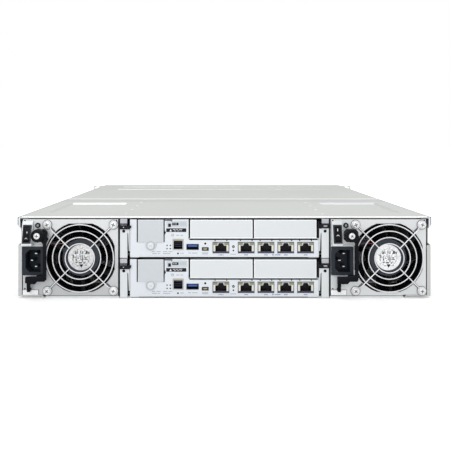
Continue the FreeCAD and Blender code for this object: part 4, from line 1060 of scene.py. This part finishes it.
    def small_print(self) -> None:
        """Rows of short faint bars where a maker would print captions."""
        faint = [self.plate((x0, x1), (z, z + 0.75), 0.04) for x0, x1, z in (
            (-57.2, -54.6, 22.6), (-52.2, -48.8, 22.4), (-47.6, -44.6, 22.4), (-78.6, -74.8, 4.7),
            (-73.4, -69.0, 4.7), (-66.4, -61.6, 4.7), (-60.6, -56.2, 4.7), (-78.0, -73.0, 2.6),
            (-72.2, -69.8, 2.6), (-66.4, -58.4, 2.6), (-47.8, -44.0, 3.0), (-39.2, -36.0, 3.2),
            (-35.0, -29.0, 3.2), (-24.2, -17.6, 3.4), (-24.2, -17.6, 2.2), (-7.0, -0.6, 1.2),
            (6.4, 12.8, 2.0))]
        faint.append(Bench.ring((-56.0, self.rear, self.base + 22.9), 1.4, 0.18, 28, 6))
        blue = []
        for x in self.jacks:
            half = 1.1 if x < 0 else 2.0
            blue.append(self.plate((x - half, x + half), (1.1, 2.2), 0.05))
        blue.append(self.plate((51.4, 53.2), (1.0, 2.4), 0.05))
        blue.append(self.plate((54.2, 60.6), (1.2, 2.2), 0.05))
        self.flat(faint, "caption_bars", FAINT_INK)
        self.flat(blue, "port_bars", BLUE_INK)

    def lower_fold(self) -> None:
        """Folded lower edge of the faceplate, which stands a little under the case's floor."""
        self.flat([self.plate((-92.4, 90.5), (-0.7, 0.8), -0.15, 1.1),
                   self.plate((-101.8, -92.4), (-1.1, 0.1), -0.1, 1.1),
                   self.plate((90.5, 101.8), (-1.1, 0.1), -0.1, 1.1)], "lower_fold", FACE)

    def battery_screw(self) -> None:
        """Pale head of the battery's captive screw, and a fine ring round it."""
        x, z, y = -79.5, self.base + 11.8, self.rear
        body = f"{self.name}_battery_module"
        head = Bench.drum((x, y - 1.95, z), 3.5, 2.3, "Y", 40, 0.3, 3)
        self.put([head], "battery_screw", PALE_SCREW, "fastener_steel", body=body)
        rings = [Bench.ring((x, y - 0.82, z), 4.4, 0.16, 40, 6),
                 Bench.ring((x, y - 3.05, z), 1.0, 0.16, 24, 6)]
        self.put(rings, "battery_ring", FAINT_INK, "face_paint", body=body)

    def lever_details(self) -> None:
        """Near-black discs standing for the screw heads down in the holes of the pull levers, painted as
        shade, and a painted glint on their catches.
        """
        for side, sign in (("left", -1), ("right", 1)):
            arm = f"{self.name}_lever_{side}_arm"
            x, z = sign * 108.65, self.base + 32.5 + 0.7 * sign
            # Near-black disc in the lever's hole: painted shade.
            plug = Bench.drum((x, self.rear - 0.55, self.base + 27.4), 1.72, 0.9, "Y", 32, 0.15)
            self.put([plug], f"lever_{side}_hole", DARK_HOLE, "lever_paint", body=arm)
            # White block on the catch: painted glint, wider on the right lever.
            half = 1.9 if sign > 0 else 0.55
            glint = Bench.block((x - half, self.rear - 3.24, z - 0.35), (x + half, self.rear - 3.1, z + 0.35),
                                0.03)
            self.put([glint], f"lever_{side}_mark", WHITE_INK_AND_GLINT, "lever_paint", body=arm)


@dataclass
class DriveBay:
    """One drive tray: bars across its air slots, and its lamps."""

    label: str
    front: float = 254.0

    def build(self) -> None:
        """Makes the bars and the lamps of one bezel."""
        low, high = spots(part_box(f"drive_tray_{self.label}"))
        x, z = (low.x + high.x) / 2, (low.z + high.z) / 2
        body = f"drive_{self.label}"
        bars = []
        for middle in (-30.0, -4.0, 22.0):
            for i in range(5):
                u = x + middle + (i - 2) * 3.9
                bars.append(Bench.block((u - 0.65, self.front - 2.2, z + 0.7),
                                        (u + 0.65, self.front - 0.3, z + 10.7), 0.15))
        Bench.done(Bench.join(bars), f"{body}_bars", body, BEZEL, "tray_alloy")
        lenses = [Bench.drum((high.x - 8.4, self.front - 0.1, z + 8.6 - 4.8 * i), 1.05, 0.9, "Y", 20, 0.3)
                  for i in range(2)]
        Bench.done(Bench.join(lenses), f"{body}_lenses", body, LENS_GREEN, "tray_alloy")


@dataclass(frozen=True)
class Studio:
    """Floor, lamps, world and camera, with places and sizes in metres."""

    lens: float = 49.9
    shift: Span = (0.014, -0.1816)
    eye: Point = (-0.0062, -0.924, 0.1671)
    target: Point = (0.0, -0.1, 0.05)
    paper: float = 0.30
    paper_fade: Span = (0.34, 0.9)
    surroundings: float = 0.62

    def build(self) -> None:
        """Sets up the whole stage."""
        self.floor()
        self.world()
        self.lamps()
        self.camera()
        bpy.context.scene.view_settings.view_transform = "Standard"

    def floor(self) -> None:
        """White sheet that keeps the shadow beside the object and goes to plain white farther out."""
        Bench.clear()
        bpy.ops.mesh.primitive_plane_add(size=40.0, location=(0.0, 0.0, -0.0002))
        floor = bpy.context.object
        floor.name = "floor"
        paint = bpy.data.materials.new("floor_paint")
        graph = NodeGraph(paint)
        away = graph.vector("LENGTH", graph.node("ShaderNodeTexCoord").outputs["Object"]).outputs["Value"]
        glow = graph.range(away, *self.paper_fade, self.paper, 1.0)
        seen = graph.node("ShaderNodeLightPath").outputs["Is Camera Ray"]
        graph.feed_all(graph.tree.nodes["Principled BSDF"].inputs, {
            "Base Color": (0.86, 0.86, 0.86), "Roughness": 0.9, "Specular IOR Level": 0.1,
            "Emission Color": (1.0, 1.0, 1.0), "Emission Strength": graph.math("MULTIPLY", seen, glow)})
        floor.data.materials.append(paint)

    def world(self) -> None:
        """White surroundings, dimmer as a lamp than as a background."""
        world = bpy.data.worlds.new("studio")
        bpy.context.scene.world = world
        graph = NodeGraph(world)
        path = graph.node("ShaderNodeLightPath").outputs
        either = graph.math("MAXIMUM", path["Is Camera Ray"], path["Is Transmission Ray"])
        graph.feed_all(graph.tree.nodes["Background"].inputs, {
            "Color": (1.0, 1.0, 1.0), "Strength": graph.range(either, 0.0, 1.0, self.surroundings, 1.0)})

    def lamps(self) -> None:
        """Three soft boxes: above, ahead and to the right."""
        for name, place, size, power in (
                ("overhead", (0.0, -0.2, 1.9), 1.8, 13.2),
                ("ahead", (-0.5, -2.1, 0.9), 1.4, 14.6),
                ("aside", (1.6, -1.0, 0.9), 1.2, 4.0)):
            bpy.ops.object.light_add(type="AREA", location=place)
            lamp = bpy.context.object
            lamp.name = name
            lamp.data.shape = "SQUARE"
            lamp.data.size = size
            lamp.data.energy = power
            aim = Vector(self.target) - Vector(place)
            lamp.rotation_euler = aim.to_track_quat("-Z", "Y").to_euler()

    def camera(self) -> None:
        """Level camera a little above the object, with a falling lens."""
        data = bpy.data.cameras.new("camera")
        data.lens = self.lens
        data.sensor_width = 36.0
        data.shift_x, data.shift_y = self.shift
        data.clip_start = 0.01
        eye = bpy.data.objects.new("camera", data)
        eye.location = self.eye
        eye.rotation_euler = (math.pi / 2, 0.0, 0.0)
        bpy.context.collection.objects.link(eye)
        bpy.context.scene.camera = eye


@dataclass(frozen=True)
class Datum:
    """A point from which the boxes of zones are measured."""

    x: float = 0.0
    y: float = 0.0
    z: float = 0.0

    def zone(self, low: Point, high: Point, colour: Colour, metal: float = 0.0, rough: float = 0.5) -> Zone:
        """A zone between two corners, in either order."""
        start = (self.x, self.y, self.z)
        return Zone(metres(map(sum, zip(start, map(min, low, high)))),
                    metres(map(sum, zip(start, map(max, low, high)))), colour, metal, rough)


class Wardrobe:
    """Gives every solid its finish, with the zones that belong to its own place; many zones are painted shade
    in gaps, pockets and holes, or painted highlight on lit edges.
    """

    # Near black painted into gaps, pockets and holes: painted shade.
    PAINTED_SHADE: Colour = (0.006, 0.006, 0.009)
    BOARD_Y: Span = (63.9, 67.1)

    def __init__(self) -> None:
        """Reads where the service side is."""
        self.rear = spots(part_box("controller_lower_canister"))[0].y

    @staticmethod
    def dress(node: str, finish: Finish) -> None:
        """Gives a solid its finish in place of the plain one.

        Args:
            node: The solid's name.
            finish: What it gets.
        """
        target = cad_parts[node]
        if not target.material_slots:
            target.data.materials.append(finish.material())
            return
        for place in target.material_slots:
            place.link = "OBJECT"
            place.material = finish.material()

    def zoned(self, node: str, finish: Finish, *zones: Zone) -> None:
        """Dresses a solid in its own copy of a finish with zones."""
        self.dress(node, replace(finish, name=f"{finish.name}_{node}", zones=zones))

    def all(self) -> None:
        """Dresses the whole object."""
        self.chassis()
        for tier in ("lower", "upper"):
            self.controller(tier)
        for side in ("left", "right"):
            self.power_module(side)
        self.drives()

    def chassis(self) -> None:
        """Chassis, covers, ears, walls, cage and midplane."""
        # The near-white tone here is a painted highlight on the covers.
        white = (0.97, 0.97, 0.97)
        at = Datum(y=self.rear)
        seam = Datum(y=spots(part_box("front_top_cover"))[0].y)
        for node, finish in (("drive_cage", ZINC), ("cover_fasteners", RIVET)):
            self.dress(node, finish)
        # Service-side cover: painted highlight along its near lip and on the far walls of its two pressed
        # recesses, fainter on the right, and a darker band ahead of the seam.
        self.zoned("rear_top_cover", COVER,
                   at.zone((-240, -1, 80), (240, 1.3, 90), white),
                   at.zone((-199, 151.6, 85.5), (-128.5, 154.4, 88.1), white),
                   at.zone((128.5, 151.6, 85.5), (199, 154.4, 88.1), (0.72, 0.75, 0.78)),
                   seam.zone((-240, -37, 87.9), (240, -17, 89), (0.57, 0.585, 0.575)))
        # Front cover: painted highlight on the far slopes of its beads, fainter to the right, and along the
        # seam's edge.
        bead_highlights = [at.zone((x0, far, 86.5), (x1, far + 4.4, 88.72), colour) for far in (390.4, 448.4)
                 for x0, x1, colour in ((-181, -70, white), (-70, 30, (0.80, 0.815, 0.80)))]
        self.zoned("front_top_cover", COVER, seam.zone((-240, -1, 86), (240, 7, 92), (0.82, 0.83, 0.82)),
                   *bead_highlights)
        # Tray: its front lip painted lighter as a highlight, painted shade on the base behind the
        # controllers, and painted shade on the outer faces of the upper hooks.
        self.zoned("chassis_tray", ZINC,
                   at.zone((-194, -1, -1), (194, 1.3, 2.0), (0.78, 0.80, 0.82)),
                   at.zone((-113.8, 5, -1), (113.8, 30, 1.2), self.PAINTED_SHADE),
                   *(at.zone((side * 224, -1, 74.8), (side * 222, 2, 88), (0.03, 0.03, 0.035))
                     for side in (-1, 1)))
        # Front of the bay walls in near black: painted shade in the gaps beside the power modules.
        self.zoned("bay_walls", ZINC, at.zone((-116, -1, 0), (116, 40, 90), (0.02, 0.02, 0.028)))
        self.zoned("rack_ears", EAR, Datum().zone((-245, 248.05, 0), (245, 262, 90), (0.02, 0.02, 0.022)))
        end = spots(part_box("midplane"))[1].y + 1
        self.zoned("midplane", BOARD, *(
            Datum().zone((-230, y0, 0), (230, y1, 90), (0.02, 0.02, 0.02))
            for y0, y1 in ((-300, self.BOARD_Y[0]), (self.BOARD_Y[1], end))))

    def controller(self, tier: str) -> None:
        """One controller's solids."""
        name, white = f"controller_{tier}", (0.95, 0.96, 0.97)
        base = spots(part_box(f"{name}_canister"))[0].z
        at = Datum(y=self.rear, z=base)
        # Painted shade in the lever pockets, in the slot behind the blanks, along the blanks' edges, and in
        # the gaps beside the battery cover.
        self.zoned(f"{name}_canister", FACE,
                   *(at.zone((sign * 101.05, 1.0, 0.9), (sign * 112.8, 13.4, 37.3), self.PAINTED_SHADE)
                     for sign in (1, -1)),
                   at.zone((-39.0, 1.02, 18.8), (102.2, 12.0, 37.3), self.PAINTED_SHADE),
                   at.zone((-38.8, -0.1, 19.3), (-37.9, 1.1, 40), self.PAINTED_SHADE),
                   at.zone((-38.8, -0.1, 18.75), (101.2, 1.1, 19.2), self.PAINTED_SHADE),
                   at.zone((-94.9, -0.1, 15.3), (-93.9, 1.2, 40), (0.10, 0.10, 0.12)),
                   at.zone((-65.1, -0.1, 15.3), (-64.4, 1.2, 40), (0.16, 0.16, 0.19)))
        # Painted shade in the USB port's mouth and on everything behind the port fronts; the service port's
        # mouth and inside are dark brown.
        self.zoned(f"{name}_ports", SHIELD,
                   at.zone((-41.4, -1, 6.6), (-27.4, 0.14, 13.6), (0.010, 0.010, 0.018)),
                   at.zone((-24.6, -1, 5.9), (-16.8, 0.14, 10.1), (0.05, 0.045, 0.045)),
                   at.zone((-110, 0.15, 0), (110, 22, 20), (0.010, 0.010, 0.016)),
                   at.zone((-24.3, 0.15, 6.0), (-17.1, 9.2, 9.9), (0.07, 0.04, 0.035)))
        board = Datum(z=base + 3.2)
        self.zoned(f"{name}_board", BOARD,
                   board.zone((-21, -131, 0), (31, -87, 27), (0.62, 0.63, 0.64), 0.8, 0.35),
                   board.zone((-61, 39, 0), (61, 56, 12), (0.05, 0.05, 0.06)))
        # The blanks' faces take a greyer tone, so the lighter rim left round each is a painted highlight on
        # its folded edges.
        self.zoned(f"{name}_slot_blanks", BLANK, *(
            at.zone((x0, -1, 20.7), (x1, -0.1, 38.4), (0.715, 0.745, 0.76), 0.1, 0.4)
            for x0, x1 in ((-36.0, 29.4), (33.0, 98.4))))
        # Painted highlight along the battery cover's left and top edges.
        self.zoned(f"{name}_battery", BATTERY,
                   at.zone((-94.5, -2, 15.5), (-92.9, -0.1, 40), white),
                   at.zone((-94.5, -2, 39.1), (-64.5, -0.1, 40), white))
        for side, sign in (("left", -1), ("right", 1)):
            lift = 0.7 * sign
            # Painted shade in the pocket beside the faceplate and in the band under the grip; the catch is
            # black.
            self.zoned(f"{name}_lever_{side}", LEVER,
                       at.zone((sign * 104.2, -0.15, 0), (sign * 107, 7, 33.4), self.PAINTED_SHADE),
                       at.zone((sign * 100, -1.22, 34.95), (sign * 113, 3.2, 40.8),
                               (0.50, 0.52, 0.56), 0.1, 0.4),
                       at.zone((sign * 100, -1.22, 33.6), (sign * 113, 3.2, 35.9),
                               (0.11, 0.11, 0.125), 0.1, 0.5),
                       at.zone((sign * 100, -3.4, 29.6 + lift), (sign * 114, -1.21, 34.9 + lift),
                               (0.003, 0.003, 0.008), 0.0, 0.75))

    def power_module(self, side: str) -> None:
        """One power module's solids."""
        name = f"psu_{side}"
        low, high = spots(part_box(f"{name}_fan_frame"))
        x, z = (low.x + high.x) / 2, (low.z + high.z) / 2
        self.zoned(f"{name}_fan_frame", FAN_BLACK, Datum(x, self.rear, z).zone(
            (-20.2, 1.7, -20.2), (20.2, 2.6, 20.2), (0.044, 0.050, 0.064)))
        # Only the left module's sheet keeps the painted shade towards the bottom.
        sheet = PSU_SHEET if side == "left" else replace(PSU_SHEET, fade=None)
        at = Datum(x - FAN_ASIDE, self.rear)
        # Lower ledge of the faceplate: its front painted near white as a highlight, painted shade at its
        # inner end, and a grey line along its top.
        self.zoned(f"{name}_housing", sheet,
                   at.zone((-51.5, -0.7, 3), (-34.5, -0.5, 8.7), (0.95, 0.96, 0.97)),
                   at.zone((-34.7, -0.49, 3), (-34.0, 0.3, 8.8), (0.05, 0.05, 0.06)),
                   at.zone((-51.5, -0.49, 8.5), (-34.0, 0.3, 9.1), (0.30, 0.31, 0.33)))
        for part, finish in (("power_entry", INLET_SLATE), ("switch_rocker", SWITCH_BLACK),
                             ("fan_rotor", BLADE_BLACK), ("fan_guard", BRIGHT), ("handle", BLACK)):
            self.dress(f"{name}_{part}", finish)

    def drives(self) -> None:
        """Trays and their levers; behind its bezel a tray is plain alloy round the disk."""
        for label in BAYS:
            node = f"drive_tray_{label}"
            low, high = spots(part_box(node))
            self.zoned(node, BEZEL, Datum().zone((low.x - 1, 70, low.z - 1), (high.x + 1, 235.9, high.z + 1),
                                                 (0.50, 0.51, 0.52), 0.7, 0.4))
            self.dress(f"tray_lever_{label}", BEZEL_LEVER)


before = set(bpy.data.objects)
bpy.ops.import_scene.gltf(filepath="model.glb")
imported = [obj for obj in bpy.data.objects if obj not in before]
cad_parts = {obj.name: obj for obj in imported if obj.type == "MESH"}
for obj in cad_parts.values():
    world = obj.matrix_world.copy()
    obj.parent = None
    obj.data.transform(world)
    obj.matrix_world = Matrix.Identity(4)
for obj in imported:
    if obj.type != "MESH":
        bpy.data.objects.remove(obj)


def main() -> None:
    """Builds every class in order."""
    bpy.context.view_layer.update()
    Studio().build()
    Wardrobe().all()
    Chassis().build()
    for side in ("left", "right"):
        PowerModule(side).build()
    for tier in ("lower", "upper"):
        Controller(tier).build()
    for label in BAYS:
        DriveBay(label).build()


if __name__ == "__main__":
    main()
